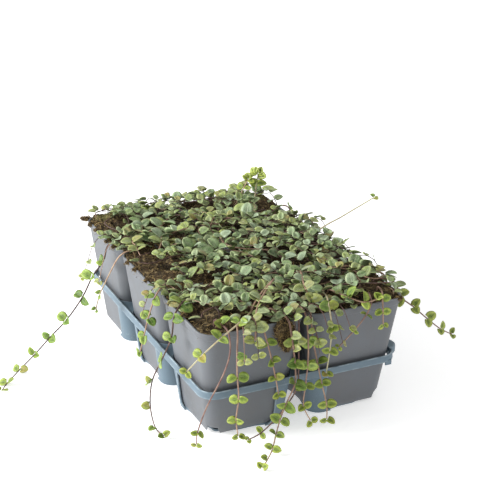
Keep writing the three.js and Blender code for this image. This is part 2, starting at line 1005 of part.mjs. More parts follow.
// The creeping stems of the mat, one in each quarter of each pot
function matStems() {
  const stems = [];
  for (let quarter = 0; quarter < SPRAYS_PER_POT; quarter++) {
    CELLS.forEach((cell, i) => {
      const seed = MAT_SEED + 97 * quarter + 13 * i;
      const draw = seeded(seed);
      const angle = (2 * Math.PI * (quarter + 0.5)) / SPRAYS_PER_POT;
      const reach = ROOT_REACH + spread(draw, ROOT_SPREAD);
      stems.push({
        name: "spray_" + CELL_NAMES[i] + "_" + (quarter + 1),
        seed,
        x: cell.x + reach * Math.cos(angle),
        y: cell.y + reach * Math.sin(angle),
        heading: 2 * Math.PI * draw(),
        layer: MAT_LAYERS[(quarter + i) % MAT_LAYERS.length],
        leaf: MAT_LEAF,
        keepsOffShownSoil: true,
      });
    });
  }
  return stems;
}

function growAll() {
  const grown = { rods: [], blades: [] };
  const runners = RUNNERS.map((runner, i) => ({ ...runner, seed: 500 + 31 * i, points: [], leaves: [] }));
  const mat = matStems().map((stem) => ({ ...stem, points: [], leaves: [] }));
  runners.forEach((stem) => layRunner(stem, grown));
  runners.forEach((stem) => leafRunner(stem, grown));
  mat.forEach((stem) => startStem(stem, grown));
  for (let node = 0; node <= MAT_NODES; node++) mat.forEach((stem) => growStem(stem, grown));
  return { runners, mat };
}

// Directions along a stem and to its side, turned so that the stem's ridge faces the light. At the
// root, where the stem stands upright, the side is taken over from the node after it.
function framesOf(stem) {
  const forward = stem.points.map((_, i) => directionAt(stem.points, i));
  const sideways = [];
  for (let i = forward.length - 1; i >= 0; i--) {
    const side = i < 2 ? sideways[i + 1] : cross(forward[i], lightOn(stem, forward[i]));
    sideways[i] = unit(add(side, forward[i], -dot(side, forward[i])));
  }
  return { forward, sideways };
}

// The three corners of a stem's section: its ridge, then its right and its left side
function corners(point, forward, sideways, radius) {
  const above = cross(sideways, forward);
  return [0, 1, 2].map((i) => {
    const angle = (i * 2 * Math.PI) / 3;
    return add(add(point, above, radius * Math.cos(angle)), sideways, radius * Math.sin(angle));
  });
}

// A leaf blade, round with a short tip. It grows out of the facet of the stem between four corners,
// which are given as the top and bottom ones of its near and far side. Its shoulders droop, and both
// of its faces are split into triangles alike.
function addBlade(points, faces, blade, [nearTop, nearBottom, farTop, farBottom]) {
  const far = [BLADE_BASE, BLADE_SHOULDER];
  const near = far.map(([along, across, drop]) => [along, -across, drop]);
  const outline = [...near, BLADE_TIP, ...far.reverse()];
  const skinAt = (offset) =>
    outline.map(([along, across, drop]) => {
      const middle = add(add(blade.root, blade.axis, along * blade.size), blade.across, across * blade.size);
      return points.push(add(middle, blade.face, offset - drop * blade.size)) - 1;
    });
  const top = [nearTop, ...skinAt(BLADE_THICKNESS / 2), farTop];
  const bottom = [nearBottom, ...skinAt(-BLADE_THICKNESS / 2), farBottom];
  const split = [
    [0, 1, 5],
    [0, 5, 6],
    [1, 2, 3],
    [1, 3, 5],
    [3, 4, 5],
  ];
  for (const [a, b, c] of split) faces.push([top[a], top[b], top[c]], [bottom[a], bottom[c], bottom[b]]);
  for (let i = 0; i < top.length - 1; i++) {
    faces.push([top[i], bottom[i], bottom[i + 1]], [top[i], bottom[i + 1], top[i + 1]]);
  }
}

// The skin of a stem between two rings of corners, with the leaves that grow out of it
function addPiece(points, faces, before, ring, leaves) {
  const [wasRidge, wasRight, wasLeft] = before;
  const [ridge, right, left] = ring;
  const rightLeaf = leaves.find((blade) => blade.side > 0);
  const leftLeaf = leaves.find((blade) => blade.side < 0);
  if (rightLeaf) addBlade(points, faces, rightLeaf, [wasRidge, wasRight, ridge, right]);
  else faces.push([wasRidge, wasRight, right], [wasRidge, right, ridge]);
  if (leftLeaf) addBlade(points, faces, leftLeaf, [ridge, left, wasRidge, wasLeft]);
  else faces.push([wasLeft, wasRidge, ridge], [wasLeft, ridge, left]);
  faces.push([wasRight, wasLeft, left], [wasRight, left, right]);
}

// A stem and its leaves as one closed skin. At a node with leaves the stem has two rings of corners
// close together, and each leaf grows out of a facet between them.
function stemSolid(stem) {
  const { forward, sideways } = framesOf(stem);
  const points = [];
  const faces = [];
  let before = null;
  stem.points.forEach((point, i) => {
    const pair = stem.leaves.filter((blade) => blade.root === point);
    for (const offset of pair.length ? [-COLLAR / 2, COLLAR / 2] : [0]) {
      const section = corners(add(point, forward[i], offset), forward[i], sideways[i], STEM_RADIUS);
      const ring = section.map((corner) => points.push(corner) - 1);
      if (before) addPiece(points, faces, before, ring, offset > 0 ? pair : []);
      else faces.push([ring[0], ring[2], ring[1]]);
      before = ring;
    }
  });
  faces.push(before);
  return solidOf(geometryOf(points.map(toVector), faces));
}

// The hole that a stem stands in, a little wider and deeper than the stem and turned the same way
function rootHole(stem) {
  const [foot, top] = stem.points;
  const side = framesOf(stem).sideways[0];
  const ringAt = (point) => corners(point, UP, side, STEM_RADIUS + ROOT_CLEARANCE).map(toVector);
  return solidOf(loft([ringAt(add(foot, UP, -SEAT_GAP)), ringAt(add(top, UP, 2))]));
}

// The whole thing
const { runners, mat } = growAll();
const stems = [...runners, ...mat];

const root = new THREE.Group();
root.add(meshOf("tray", makeTray(), material(COLOURS.tray, 0.45)));
CELLS.forEach((cell, i) => {
  const rooted = stems.filter((stem) => cellAt(stem.points[0][0], stem.points[0][1]) === cell);
  const soil = rooted.reduce((solid, stem) => solid.subtract(rootHole(stem)), makeSoil(cell));
  root.add(meshOf("pot_" + CELL_NAMES[i], makePot(cell), material(COLOURS.pot, 0.5)));
  root.add(meshOf("soil_" + CELL_NAMES[i], soil, material(COLOURS.soil, 1)));
});
for (const stem of runners) root.add(meshOf(stem.name, stemSolid(stem), material(COLOURS.runner, 0.6)));
for (const stem of mat) root.add(meshOf(stem.name, stemSolid(stem), material(COLOURS.mat, 0.6)));

export default root;
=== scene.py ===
# %% [markdown]
# # A tray of creeping partridge berry
#
# Six square nursery pots stand in a shallow carrying tray. A creeping plant roots in every pot and
# has grown across all the rims into one low mat, and some of its runners hang over the edge. This
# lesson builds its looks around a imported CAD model, which gives every place and size. Blender works
# in metres, and the plant's own sums are easier in millimetres, so one factor joins the two.

import math
from functools import partial
from itertools import product

import bmesh
import bpy
import numpy as np
from mathutils import Matrix, Vector, noise


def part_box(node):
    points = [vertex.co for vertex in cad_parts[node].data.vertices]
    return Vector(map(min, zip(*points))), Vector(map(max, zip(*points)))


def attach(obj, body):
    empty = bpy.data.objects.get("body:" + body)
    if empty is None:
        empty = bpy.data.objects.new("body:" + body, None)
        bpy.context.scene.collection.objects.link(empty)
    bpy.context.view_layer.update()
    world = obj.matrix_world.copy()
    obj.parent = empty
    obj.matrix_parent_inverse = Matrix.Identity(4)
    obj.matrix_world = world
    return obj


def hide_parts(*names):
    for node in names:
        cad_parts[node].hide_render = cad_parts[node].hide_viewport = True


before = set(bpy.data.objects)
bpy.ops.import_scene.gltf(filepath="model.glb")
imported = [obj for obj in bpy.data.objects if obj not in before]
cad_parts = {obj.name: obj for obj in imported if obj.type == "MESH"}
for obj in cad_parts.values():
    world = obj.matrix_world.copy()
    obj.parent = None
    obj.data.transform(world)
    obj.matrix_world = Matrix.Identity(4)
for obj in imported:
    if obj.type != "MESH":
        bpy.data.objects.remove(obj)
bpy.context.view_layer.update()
MM = 0.001

# %% [markdown]
# ## Camera
#
# The photograph looks down on the pots from the front and a little from the left, through a long
# lens. A long lens from far away keeps upright edges nearly parallel, as they are in product
# photographs. The camera could be aimed by eye, but three turns and a distance about one target
# point are easier to adjust, so its matrix is built from those.

# %% Camera
AIM = Vector((5.18, 0, 110.965)) * MM
TURN, HEIGHT, ROLL, DISTANCE = math.radians(-25.855), math.radians(22.243), math.radians(0.897), 1100 * MM
LENS, SENSOR = 93.26, 36

back = Vector((math.sin(TURN) * math.cos(HEIGHT), -math.cos(TURN) * math.cos(HEIGHT), math.sin(HEIGHT)))
right = Vector((0, 0, 1)).cross(back).normalized()
above = back.cross(right)
tilted_right = right * math.cos(ROLL) + above * math.sin(ROLL)
tilted_above = above * math.cos(ROLL) - right * math.sin(ROLL)
turned_to = Matrix((tilted_right, tilted_above, back)).transposed().to_4x4()

camera = bpy.data.objects.new("camera", bpy.data.cameras.new("camera"))
camera.data.lens, camera.data.sensor_width = LENS, SENSOR
camera.matrix_world = Matrix.Translation(AIM + back * DISTANCE) @ turned_to
bpy.context.scene.collection.objects.link(camera)
bpy.context.scene.camera = camera
print("camera at", [round(v, 3) for v in camera.matrix_world.translation])

# %% [markdown]
# ## Small helpers
#
# Most pieces are made from lists of points and faces, so one helper turns such lists into an object.
# A second helper adds a node to the tree that was started last and fills its sockets in the same
# line: a value is set on the socket, and another node's output is linked to it. With a few more of
# them for sums, noise and mixes, a finish reads like a formula. Colours are easier to judge as the
# red, green and blue numbers of a paint program, so another helper turns those into linear light.

# %% Points and faces to an object
def new_object(name, data):
    made = bpy.data.objects.new(name, data)
    bpy.context.scene.collection.objects.link(made)
    return made


def mesh_object(name, points, faces, edges=(), finish=None, smooth=True):
    """An object from points in millimetres."""
    mesh = bpy.data.meshes.new(name)
    mesh.from_pydata([tuple(float(v) * MM for v in p) for p in points], edges, faces)
    if finish:
        mesh.materials.append(finish)
    if smooth:
        mesh.shade_smooth()
    mesh.update()
    return new_object(name, mesh)


def drop(*things):
    for thing in things:
        bpy.data.objects.remove(thing)


def evaluated_mesh(holder):
    """The plain mesh that a curve or a modifier makes."""
    return bpy.data.meshes.new_from_object(holder.evaluated_get(bpy.context.evaluated_depsgraph_get()))


def keep_numbers(piece, **numbers):
    """Stores numbers for each point of a mesh. A single number goes to all of them."""
    for name, values in numbers.items():
        values = np.broadcast_to(np.asarray(values, np.float32), len(piece.data.vertices))
        piece.data.attributes.new(name, "FLOAT", "POINT").data.foreach_set(
            "value", np.ascontiguousarray(values))


def triangles(piece):
    return sum(len(face.vertices) - 2 for face in piece.data.polygons)


def points_and_faces(shape):
    """Empties a BMesh into lists."""
    points, faces = [v.co.copy() for v in shape.verts], [[v.index for v in face.verts] for face in shape.faces]
    shape.free()
    return points, faces


def ball(subdivisions):
    shape = bmesh.new()
    bmesh.ops.create_icosphere(shape, subdivisions=subdivisions, radius=1)
    return points_and_faces(shape)


def sharpen(piece, degrees=38):
    """Turns all faces outwards and marks the sharp edges, so that smooth shading stops there."""
    shape = bmesh.new()
    shape.from_mesh(piece.data)
    bmesh.ops.recalc_face_normals(shape, faces=shape.faces)
    for edge in shape.edges:
        edge.smooth = len(edge.link_faces) == 2 and edge.calc_face_angle(0) < math.radians(degrees)
    shape.to_mesh(piece.data)
    shape.free()


# %% Nodes
def start_tree(made):
    """From here on every node is added to this tree."""
    global tree
    tree = made
    return made


def node(kind, inputs=None, **settings):
    """Adds a node and gives back its outputs."""
    made = tree.nodes.new(kind)
    for key, value in settings.items():
        setattr(made, key, value)
    for key, value in (inputs or {}).items():
        if isinstance(value, bpy.types.NodeSocket):
            tree.links.new(value, made.inputs[key])
        else:
            made.inputs[key].default_value = value
    return made.outputs


def start_group(name, kind, inputs):
    """Starts a node group. Each input has a default value, or else the name of its kind."""
    group = start_tree(bpy.data.node_groups.new(name, kind + "NodeTree"))
    for label, value in inputs.items():
        named = value if isinstance(value, str) else {float: "Float", int: "Int", tuple: "Color"}[type(value)]
        socket = group.interface.new_socket(label, in_out="INPUT", socket_type="NodeSocket" + named)
        if named != value:
            socket.default_value = value
    return group.nodes.new("NodeGroupInput").outputs


def hand_out(**values):
    """Gives the group that was started last its outputs, which completes it."""
    kinds = {"RGBA": "Color", "VALUE": "Float", "GEOMETRY": "Geometry"}
    for label, value in values.items():
        tree.interface.new_socket(label, in_out="OUTPUT", socket_type="NodeSocket" + kinds[value.type])
    wanted = tree.nodes.new("NodeGroupOutput").inputs
    for label, value in values.items():
        tree.links.new(value, wanted[label])
    print(tree.name + ":", len(tree.nodes), "nodes")


def placed(name, inputs):
    """Places a finished group in the tree that was started last."""
    return node("ShaderNodeGroup", inputs, node_tree=bpy.data.node_groups[name])


# %% Sums, noise and colours
def paint(red, green, blue):
    """A colour as a paint program shows it, turned to linear light."""
    return tuple((v / 255 / 12.92) if v < 11 else ((v / 255 + 0.055) / 1.055) ** 2.4
                 for v in (red, green, blue)) + (1,)


def sums(operation, first, second=0.0):
    return node("ShaderNodeMath", {0: first, 1: second}, operation=operation)[0]


plus, minus, times = partial(sums, "ADD"), partial(sums, "SUBTRACT"), partial(sums, "MULTIPLY")


def stretched(value, low, high, to_low=0.0, to_high=1.0):
    """Maps a number from one range to another, and clamps it."""
    return node("ShaderNodeMapRange", {0: value, 1: low, 2: high, 3: to_low, 4: to_high})[0]


def cloud(place, scale, detail=3.0, roughness=0.55):
    return node("ShaderNodeTexNoise", {
        "Vector": place, "Scale": scale, "Detail": detail, "Roughness": roughness})[0]


def attribute(name):
    return node("ShaderNodeAttribute", attribute_name=name)["Fac"]


def mixed(share, first, second):
    return node("ShaderNodeMix", {0: share, 6: first, 7: second}, data_type="RGBA")[2]


def layered(colour, *layers):
    """Mixes one colour after another over the first, each by its own share."""
    for share, over in layers:
        colour = mixed(share, colour, paint(*over))
    return colour


def ramp(value, tones):
    """Colours at given positions between 0 and 1."""
    made = tree.nodes.new("ShaderNodeValToRGB")
    tree.links.new(value, made.inputs[0])
    stops = made.color_ramp.elements
    for stop, (_, tone) in zip(stops, (tones[0], tones[-1])):
        stop.color = paint(*tone)
    for position, tone in tones[1:-1]:
        stops.new(position).color = paint(*tone)
    return made.outputs[0]


print("mid grey in linear light:", round(paint(128, 128, 128)[0], 3))

# %% [markdown]
# ## Shader groups that several finishes share
#
# Pots and tray are both thin moulded plastic, so both show soft clouds of colour, a fine skin
# texture, soil dust in patches, and pale edges, partly real wear and partly a painted highlight.
# Each of these effects is a node group with named sockets, built once and placed in each finish with
# its own values. A group only hands out colours and numbers: the shader itself stays in the material.

# %% Moulded skin: clouds of colour, a fine grain and flow lines
given = start_group("moulded_skin", "Shader", {
    "Place": "Vector", "Colour": (0.2, 0.2, 0.2, 1), "Lighter": (0.3, 0.3, 0.3, 1), "Cloud Scale": 20.0,
    "Grain Scale": 900.0})
clouds = cloud(given["Place"], given["Cloud Scale"], 4.0)
flow = cloud(node("ShaderNodeMapping", {"Vector": given["Place"], "Scale": (260.0, 260.0, 14.0)})[0], 1.0, 2.0)
grain = cloud(given["Place"], given["Grain Scale"], 2.0)
share = stretched(plus(clouds, times(flow, 0.12)), 0.35, 0.85)
hand_out(Colour=mixed(share, given["Colour"], given["Lighter"]),
         Roughness=stretched(clouds, 0.3, 0.7, 0.42, 0.56),
         Height=plus(times(grain, 0.4), flow))

# %% Scuffs: short thin scratches that catch the light
given = start_group("scuffs", "Shader", {"Place": "Vector", "Amount": 0.3})
across = node("ShaderNodeMapping", {
    "Vector": given["Place"], "Rotation": (0.3, 0.5, 0.4), "Scale": (900.0, 70.0, 500.0)})[0]
lines = stretched(cloud(across, 1.0, 1.0), 0.66, 0.74)
patches = stretched(cloud(given["Place"], 32.0, 2.0), 0.5, 0.7)
hand_out(Mask=times(times(lines, patches), given["Amount"]))

# %% Soil dust: a brown film, with specks in some places
given = start_group("soil_dust", "Shader", {"Place": "Vector", "Film": 0.2, "Specks": 0.5})
film = stretched(cloud(given["Place"], 45.0, 5.0, 0.65), 0.42, 0.75)
dots = node("ShaderNodeTexVoronoi", {"Vector": given["Place"], "Scale": 420.0})[0]
few = stretched(cloud(given["Place"], 60.0, 2.0), 0.55, 0.62)
hand_out(Film=times(film, given["Film"]),
         Specks=times(times(stretched(dots, 0.13, 0.06), few), given["Specks"]))

# %% Worn and lit edges: reads the "edge" number that a mesh keeps for its points, broken up by noise. The pale edge is partly wear and partly a painted highlight
given = start_group("worn_edges", "Shader", {"Place": "Vector", "Edge": 0.0, "Amount": 0.5})
broken = stretched(cloud(given["Place"], 130.0, 4.0), 0.35, 0.65)
hand_out(Mask=times(times(stretched(given["Edge"], 0.35, 1.0), broken), given["Amount"]))


# %% A helper that starts a material and gives back its own coordinates
def new_material(name, **constants):
    material = bpy.data.materials.new(name)
    material.use_nodes = True
    surface = start_tree(material.node_tree).nodes["Principled BSDF"].inputs
    for key, value in constants.items():
        surface[key.replace("_", " ")].default_value = value
    return material, surface, node("ShaderNodeTexCoord")["Object"]


def finish_with(surface, colour, roughness=None, height=None, depth=0.1, reach=0.0005):
    """Links a colour, and if they are given a roughness and a bump, to the shader's inputs."""
    tree.links.new(colour, surface["Base Color"])
    if roughness is not None:
        tree.links.new(roughness, surface["Roughness"])
    if height is not None:
        bump = node("ShaderNodeBump", {"Strength": depth, "Distance": reach, "Height": height})
        tree.links.new(bump[0], surface["Normal"])


def plastic(name, colour, lighter, wear_and_highlight_colour, film, specks, edge_amount, cloud_scale):
    material, surface, place = new_material(name, Specular_IOR_Level=0.4)
    skin = placed("moulded_skin", {
        "Place": place, "Colour": paint(*colour), "Lighter": paint(*lighter), "Cloud Scale": cloud_scale})
    scuffed = placed("scuffs", {"Place": place, "Amount": 0.35})["Mask"]
    dust = placed("soil_dust", {"Place": place, "Film": film, "Specks": specks})
    worn_and_lit = placed("worn_edges", {"Place": place, "Edge": attribute("edge"), "Amount": edge_amount})["Mask"]
    # Scuffs and pale edges share one colour: the edges are partly wear and partly a painted highlight
    tint = layered(skin["Colour"], (scuffed, wear_and_highlight_colour), (worn_and_lit, wear_and_highlight_colour),
                   (dust["Film"], (112, 98, 84)), (dust["Specks"], (58, 44, 34)))
    finish_with(surface, tint, plus(skin["Roughness"], times(dust["Film"], 0.5)), skin["Height"], 0.12, 0.0003)
    return material


# The third colour of each paints scuffs and pale edges, the edges partly wear and partly a painted highlight
pot_finish = plastic("pot_plastic", (95, 99, 104), (104, 108, 113), (150, 154, 159), film=0.16, specks=0.6,
                     edge_amount=0.45, cloud_scale=16.0)
tray_finish = plastic("tray_plastic", (94, 113, 126), (108, 127, 139), (176, 192, 200), film=0.1, specks=0.3,
                      edge_amount=0.75, cloud_scale=12.0)
print("finishes:", pot_finish.name, "and", tray_finish.name)

# %% [markdown]
# ## Pots
#
# A nursery pot is one thin tapered shell of moulded plastic, square with rounded corners, with a
# stiffening band round its rim and a low skirt with drain notches under its floor. It could be cut
# from boxes, but every height of it is the same rounded square in another size. So it is lofted: a
# list of heights and offsets gives one ring each, from the floor's underside, round the skirt, up the
# outside, over the rim and down the inside. Each straight side gets a point close to both its ends,
# which keeps the smooth shading of the corners out of the flat faces.

# %% Rounded squares
PITCH, COLUMNS, ROWS = 93, 2, 3
RIM, WALL = 98, 1.2
# From its foot to its rim, a pot gets wider and its corners rounder
FOOT, TALL, FOOT_HALF, WIDER, FOOT_CORNER, ROUNDER = 2, 96, 33, 12, 10, 2.5
CELL_NAMES = ["front_left", "front_right", "middle_left", "middle_right", "back_left", "back_right"]
CELLS = [((c - 0.5) * PITCH, (r - 1) * PITCH) for r in range(ROWS) for c in range(COLUMNS)]


def rounded_ring(half_x, half_y, corner, z, centre=(0, 0), steps=9):
    """Points round a rectangle with rounded corners, anticlockwise from above."""
    arcs = []
    for quarter in range(4):
        sign_x, sign_y = (1, -1, -1, 1)[quarter], (1, 1, -1, -1)[quarter]
        angles = (quarter + np.arange(steps + 1) / steps) * math.pi / 2
        arcs.append(np.stack([sign_x * (half_x - corner) + corner * np.cos(angles),
                              sign_y * (half_y - corner) + corner * np.sin(angles)], 1))
    ring = []
    for quarter, arc in enumerate(arcs):
        following = arcs[(quarter + 1) % 4][0]
        ring += [arc] + [arc[-1:] + (following - arc[-1:]) * share for share in (0.03, 0.35, 0.65, 0.97)]
    ring = np.concatenate(ring) + np.array(centre, float)
    return np.column_stack([ring, np.full(len(ring), float(z))])


def pot_size(z):
    """Half the width of a pot at some height, and the radius of its corners there."""
    return FOOT_HALF + WIDER * (z - FOOT) / TALL, FOOT_CORNER + ROUNDER * (z - FOOT) / TALL


def pot_ring(z, offset, cell):
    half, corner = pot_size(z)
    return rounded_ring(half + offset, half + offset, corner + offset, z, cell)


def loft(rings, closed=False):
    """Points and outward faces through rings of equal count."""
    count, levels = len(rings[0]), len(rings)
    i = np.arange(count)
    faces = []
    for level in range(levels if closed else levels - 1):
        a, b = level * count, (level + 1) % levels * count
        faces += np.stack([a + i, a + (i + 1) % count, b + (i + 1) % count, b + i], 1).tolist()
    if not closed:
        faces += [i[::-1].tolist(), (i + (levels - 1) * count).tolist()]
    return np.concatenate(rings), faces


print("points in a ring:", len(pot_ring(50, 0, (0, 0))))

# %% The profile of a pot: height, offset from the taper, and how pale that edge is, from wear and from a painted highlight
POT_PROFILE = [
    (8.2, -1.9, 0), (2.0, -1.2, 0.3), (2.0, -0.2, 0.9), (2.4, 0, 0.6),
    (9, 0, 0), (34, 0, 0), (60, 0, 0), (86, 0, 0),
    (91.6, 0, 0), (92.0, 0.15, 0.3), (92.4, 0.8, 0.6), (93.0, 1.0, 0.3), (96.8, 1.0, 0.3), (97.6, 0.85, 1),
    (98.0, 0.35, 1), (98.0, -0.6, 1), (97.6, -1.05, 0.9), (96.8, -WALL, 0.3), (88, -WALL, 0), (40, -WALL, 0),
    (9.6, -WALL, 0)]
NOTCH_TOP, NOTCH_HALF = 6.8, 7.5


def in_notch(ring, cell):
    """Which points of a ring lie near the middle of a corner."""
    away = np.abs(ring[:, :2] - np.array(cell))
    return np.abs(away[:, 0] - away[:, 1]) < NOTCH_HALF


def make_pot(name, cell, finish):
    rings = [pot_ring(z, offset, cell) for z, offset, _ in POT_PROFILE]
    # The foot of the skirt is lifted at its corners, where water drains out: inside, below and outside
    inside, below, outside = rings[1:4]
    inside[in_notch(inside, cell), 2] = NOTCH_TOP
    notch = in_notch(below, cell)
    below[notch, 2], outside[notch, 2] = NOTCH_TOP, NOTCH_TOP + 0.4
    for ring, (z, _, _) in zip(rings, POT_PROFILE):
        if z > RIM - 2:
            ring[:, 2] += 0.35 * np.sin(ring[:, 0] * 0.11 + ring[:, 1] * 0.07 + cell[0])
    pot = mesh_object(name, *loft(rings), finish=finish)
    keep_numbers(pot, edge=np.repeat([wear_and_light for _, _, wear_and_light in POT_PROFILE], len(rings[0])))
    sharpen(pot)
    return pot


pots = [make_pot("nursery_pot_" + name, cell, pot_finish) for name, cell in zip(CELL_NAMES, CELLS)]
print("six pots,", triangles(pots[0]), "triangles each")

# %% [markdown]
# ## Carrying tray
#
# The tray is pressed from one thin sheet: a flat plate with six holes, a lip that rolls down round
# its edge, and a basket under each hole whose sides are mostly open, so that only pillars at the
# corners and a foot plate are left. The plate is a flat outline with six outlines inside it, which is
# what a 2D curve fills on its own. The lip and the collars round the holes are closed lofts, and each
# pillar is a curved slab between an outer and an inner sheet of points.

# %% A flat plate with holes, from a filled curve
def plate_points(outlines, low, high, rounding):
    curve = bpy.data.curves.new("outline", "CURVE")
    curve.dimensions, curve.fill_mode = "2D", "BOTH"
    curve.extrude, curve.bevel_depth, curve.offset = (high - low) / 2 - rounding, rounding, -rounding
    for outline in outlines:
        spline = curve.splines.new("POLY")
        spline.points.add(len(outline) - 1)
        flat = np.column_stack([outline[:, :2], np.zeros(len(outline)), np.ones(len(outline))])
        spline.points.foreach_set("co", flat.ravel())
        spline.use_cyclic_u = True
    holder = new_object("outline", curve)
    shape = bmesh.new()
    shape.from_mesh(evaluated_mesh(holder))
    bmesh.ops.remove_doubles(shape, verts=shape.verts, dist=0.001)
    points, faces = points_and_faces(shape)
    drop(holder)
    middle = Vector((0, 0, (low + high) / 2))
    return np.array([point + middle for point in points]), faces


PLATE_TOP, PLATE_X, PLATE_Y, PLATE_CORNER, UNDER_LIP = 43.2, 89.5, 136, 14, 2.2
HOLE_GAP, BASKET_INNER, BASKET_OUTER = 1.6, 0.9, 2.1
outlines = [rounded_ring(PLATE_X - UNDER_LIP, PLATE_Y - UNDER_LIP, PLATE_CORNER - UNDER_LIP, 0)]
outlines += [pot_ring(PLATE_TOP, HOLE_GAP, cell)[::-1] for cell in CELLS]
plate = plate_points(outlines, PLATE_TOP - WALL, PLATE_TOP, 0.2)
print("plate:", len(plate[1]), "faces")


# %% Parts of the tray, gathered with how pale each point is at its edge, from wear and from a painted highlight
class Gathered:
    """Collects points, faces and edge paleness, from wear and from a painted highlight, of many parts that
    become one mesh.
    """

    def __init__(self):
        self.points, self.faces, self.edge, self.count = [], [], [], 0

    def add(self, points, faces, edge):
        self.points.append(np.asarray(points, float))
        self.faces += [[i + self.count for i in face] for face in faces]
        self.edge.append(np.broadcast_to(np.asarray(edge, float), len(points)))
        self.count += len(points)

    def add_loft(self, profile, ring_at, closed=True):
        rings = [ring_at(z, offset) for z, offset, _ in profile]
        self.add(*loft(rings, closed), np.repeat([wear_and_light for _, _, wear_and_light in profile], len(rings[0])))


def slab(outer, inner):
    """A closed sheet between two grids of points, (rows, columns, 3) each."""
    rows, columns = outer.shape[:2]
    number = np.arange(rows * columns).reshape(rows, columns)
    low, high = number[:-1, :-1].ravel(), number[1:, 1:].ravel()
    side, over = number[:-1, 1:].ravel(), number[1:, :-1].ravel()
    top = np.stack([low, side, high, over], 1)
    faces = top.tolist() + (top[:, ::-1] + rows * columns).tolist()
    rim = np.concatenate([number[0, :-1], number[:-1, -1], number[-1, :0:-1], number[:0:-1, 0]])
    for a, b in zip(rim, np.roll(rim, -1)):
        faces.append([b, a, a + rows * columns, b + rows * columns])
    return np.concatenate([outer.reshape(-1, 3), inner.reshape(-1, 3)]), faces


tray_parts = Gathered()
tray_parts.add(*plate, 0.0)

# %% Rolled lip, collars round the holes, and foot plates with their round holes
def has_pillar(number, side_x, side_y):
    """The tray's own four corners stay open."""
    row, column = divmod(number, 2)
    return row == 1 or side_x != (-1, 1)[column] or side_y != (-1 if row == 0 else 1)


# Height, offset from the outline, and how pale that edge is, from wear and from a painted highlight
LIP = [(39.6, 0.35, 0.8), (40.3, 0.2, 0.5), (42.5, 0.05, 0.1), (44.6, -0.1, 0.3), (45.3, -0.3, 0.9),
       (45.6, -0.75, 1), (45.5, -1.25, 1), (45.0, -1.6, 0.5), (43.6, -1.9, 0), (43.15, -2.8, 0),
       (42.0, -2.8, 0), (41.8, -1.5, 0), (40.2, -1.0, 0), (39.5, -0.4, 0.5)]
COLLAR = [(39.8, 2.5, 0), (43.0, 2.5, 0), (43.35, 2.2, 0.6), (43.35, 1.8, 1), (43.0, 1.4, 0.9), (39.8, 1.3, 0)]
FOOT_THICK, HOLE_RADIUS, NEAR_CORNER = 1.7, 14, 20
FOOT_INSET, FOOT_CUT, FOOT_OUT = -1.6, -6, 1.2
MIDDLE_FOOT, MIDDLE_THICK = (14.5, 8, 1.5), 1.6


def foot_ring(number, cell):
    """A foot plate reaches out to the pillars, is cut off at an open corner, and lies in between them."""
    inset, cut, out = (pot_ring(0, offset, cell) for offset in (FOOT_INSET, FOOT_CUT, FOOT_OUT))
    away = out[:, :2] - np.array(cell)
    held = np.array([has_pillar(number, *sides) for sides in np.sign(away).astype(int)])[:, None]
    at_corner = (np.abs(away).min(1) > NEAR_CORNER)[:, None]
    return np.where(at_corner, np.where(held, out, cut), inset)


tray_parts.add_loft(LIP, lambda z, offset: rounded_ring(
    PLATE_X + offset, PLATE_Y + offset, PLATE_CORNER + offset, z))
for number, cell in enumerate(CELLS):
    tray_parts.add_loft(COLLAR, lambda z, offset: pot_ring(PLATE_TOP, offset, cell) * [1, 1, 0] + [0, 0, z])
    foot = foot_ring(number, cell)
    spokes = foot[:, :2] - np.array(cell)
    round_hole = np.array(cell) + HOLE_RADIUS * spokes / np.linalg.norm(spokes, axis=1)[:, None]
    hole, lifted = np.column_stack([round_hole, foot[:, 2]]), [0, 0, FOOT_THICK]
    tray_parts.add(*loft([foot, foot + lifted, hole + lifted, hole], True), 0.1)
# A small flat foot between the two middle cells
tray_parts.add(*loft([rounded_ring(*MIDDLE_FOOT, z) for z in (0, MIDDLE_THICK)]), 0.2)
print("tray so far:", tray_parts.count, "points")

# %% Corner pillars
PILLAR_LEVELS = [0, 1.2, 2.6, 4.6, 7.5, 12, 20, 28, 35, 38.5, 41, 42.6]
# The window edges of the pillars are painted pale, partly as wear and partly as a painted highlight
PILLAR_LIP, PILLAR_WEAR_AND_LIGHT = 0.7, 0.75


def window_edge(z):
    """Half the width of the open window in a basket's side: it narrows in curves at top and foot."""
    return 22.5 - 7 * max(0, 1 - z / 7.5) ** 2 - 5 * max(0, (z - 35) / 8) ** 2


def pillar_sheet(cell, sides, offset):
    rows = []
    for z in PILLAR_LEVELS:
        half, corner = (size + offset for size in pot_size(z))
        angles = np.linspace(0, math.pi / 2, 9)
        arc = np.stack([half - corner + corner * np.cos(angles), half - corner + corner * np.sin(angles)], 1)
        edge, lip = window_edge(z), window_edge(z) + PILLAR_LIP
        path = np.concatenate([[[half, edge], [half, lip]], arc, [[lip, half], [edge, half]]])
        rows.append(np.column_stack([path * sides + np.array(cell), np.full(len(path), float(z))]))
    return np.array(rows)


corners = [(number, sides) for number in range(len(CELLS)) for sides in product((-1, 1), repeat=2)
           if has_pillar(number, *sides)]
for number, sides in corners:
    outer, inner = (pillar_sheet(CELLS[number], sides, offset) for offset in (BASKET_OUTER, BASKET_INNER))
    worn_and_lit = np.zeros(outer.shape[:2])
    worn_and_lit[:, [0, 1, -2, -1]] = PILLAR_WEAR_AND_LIGHT
    tray_parts.add(*slab(outer, inner), np.tile(worn_and_lit.ravel(), 2))
print("pillars:", len(corners))

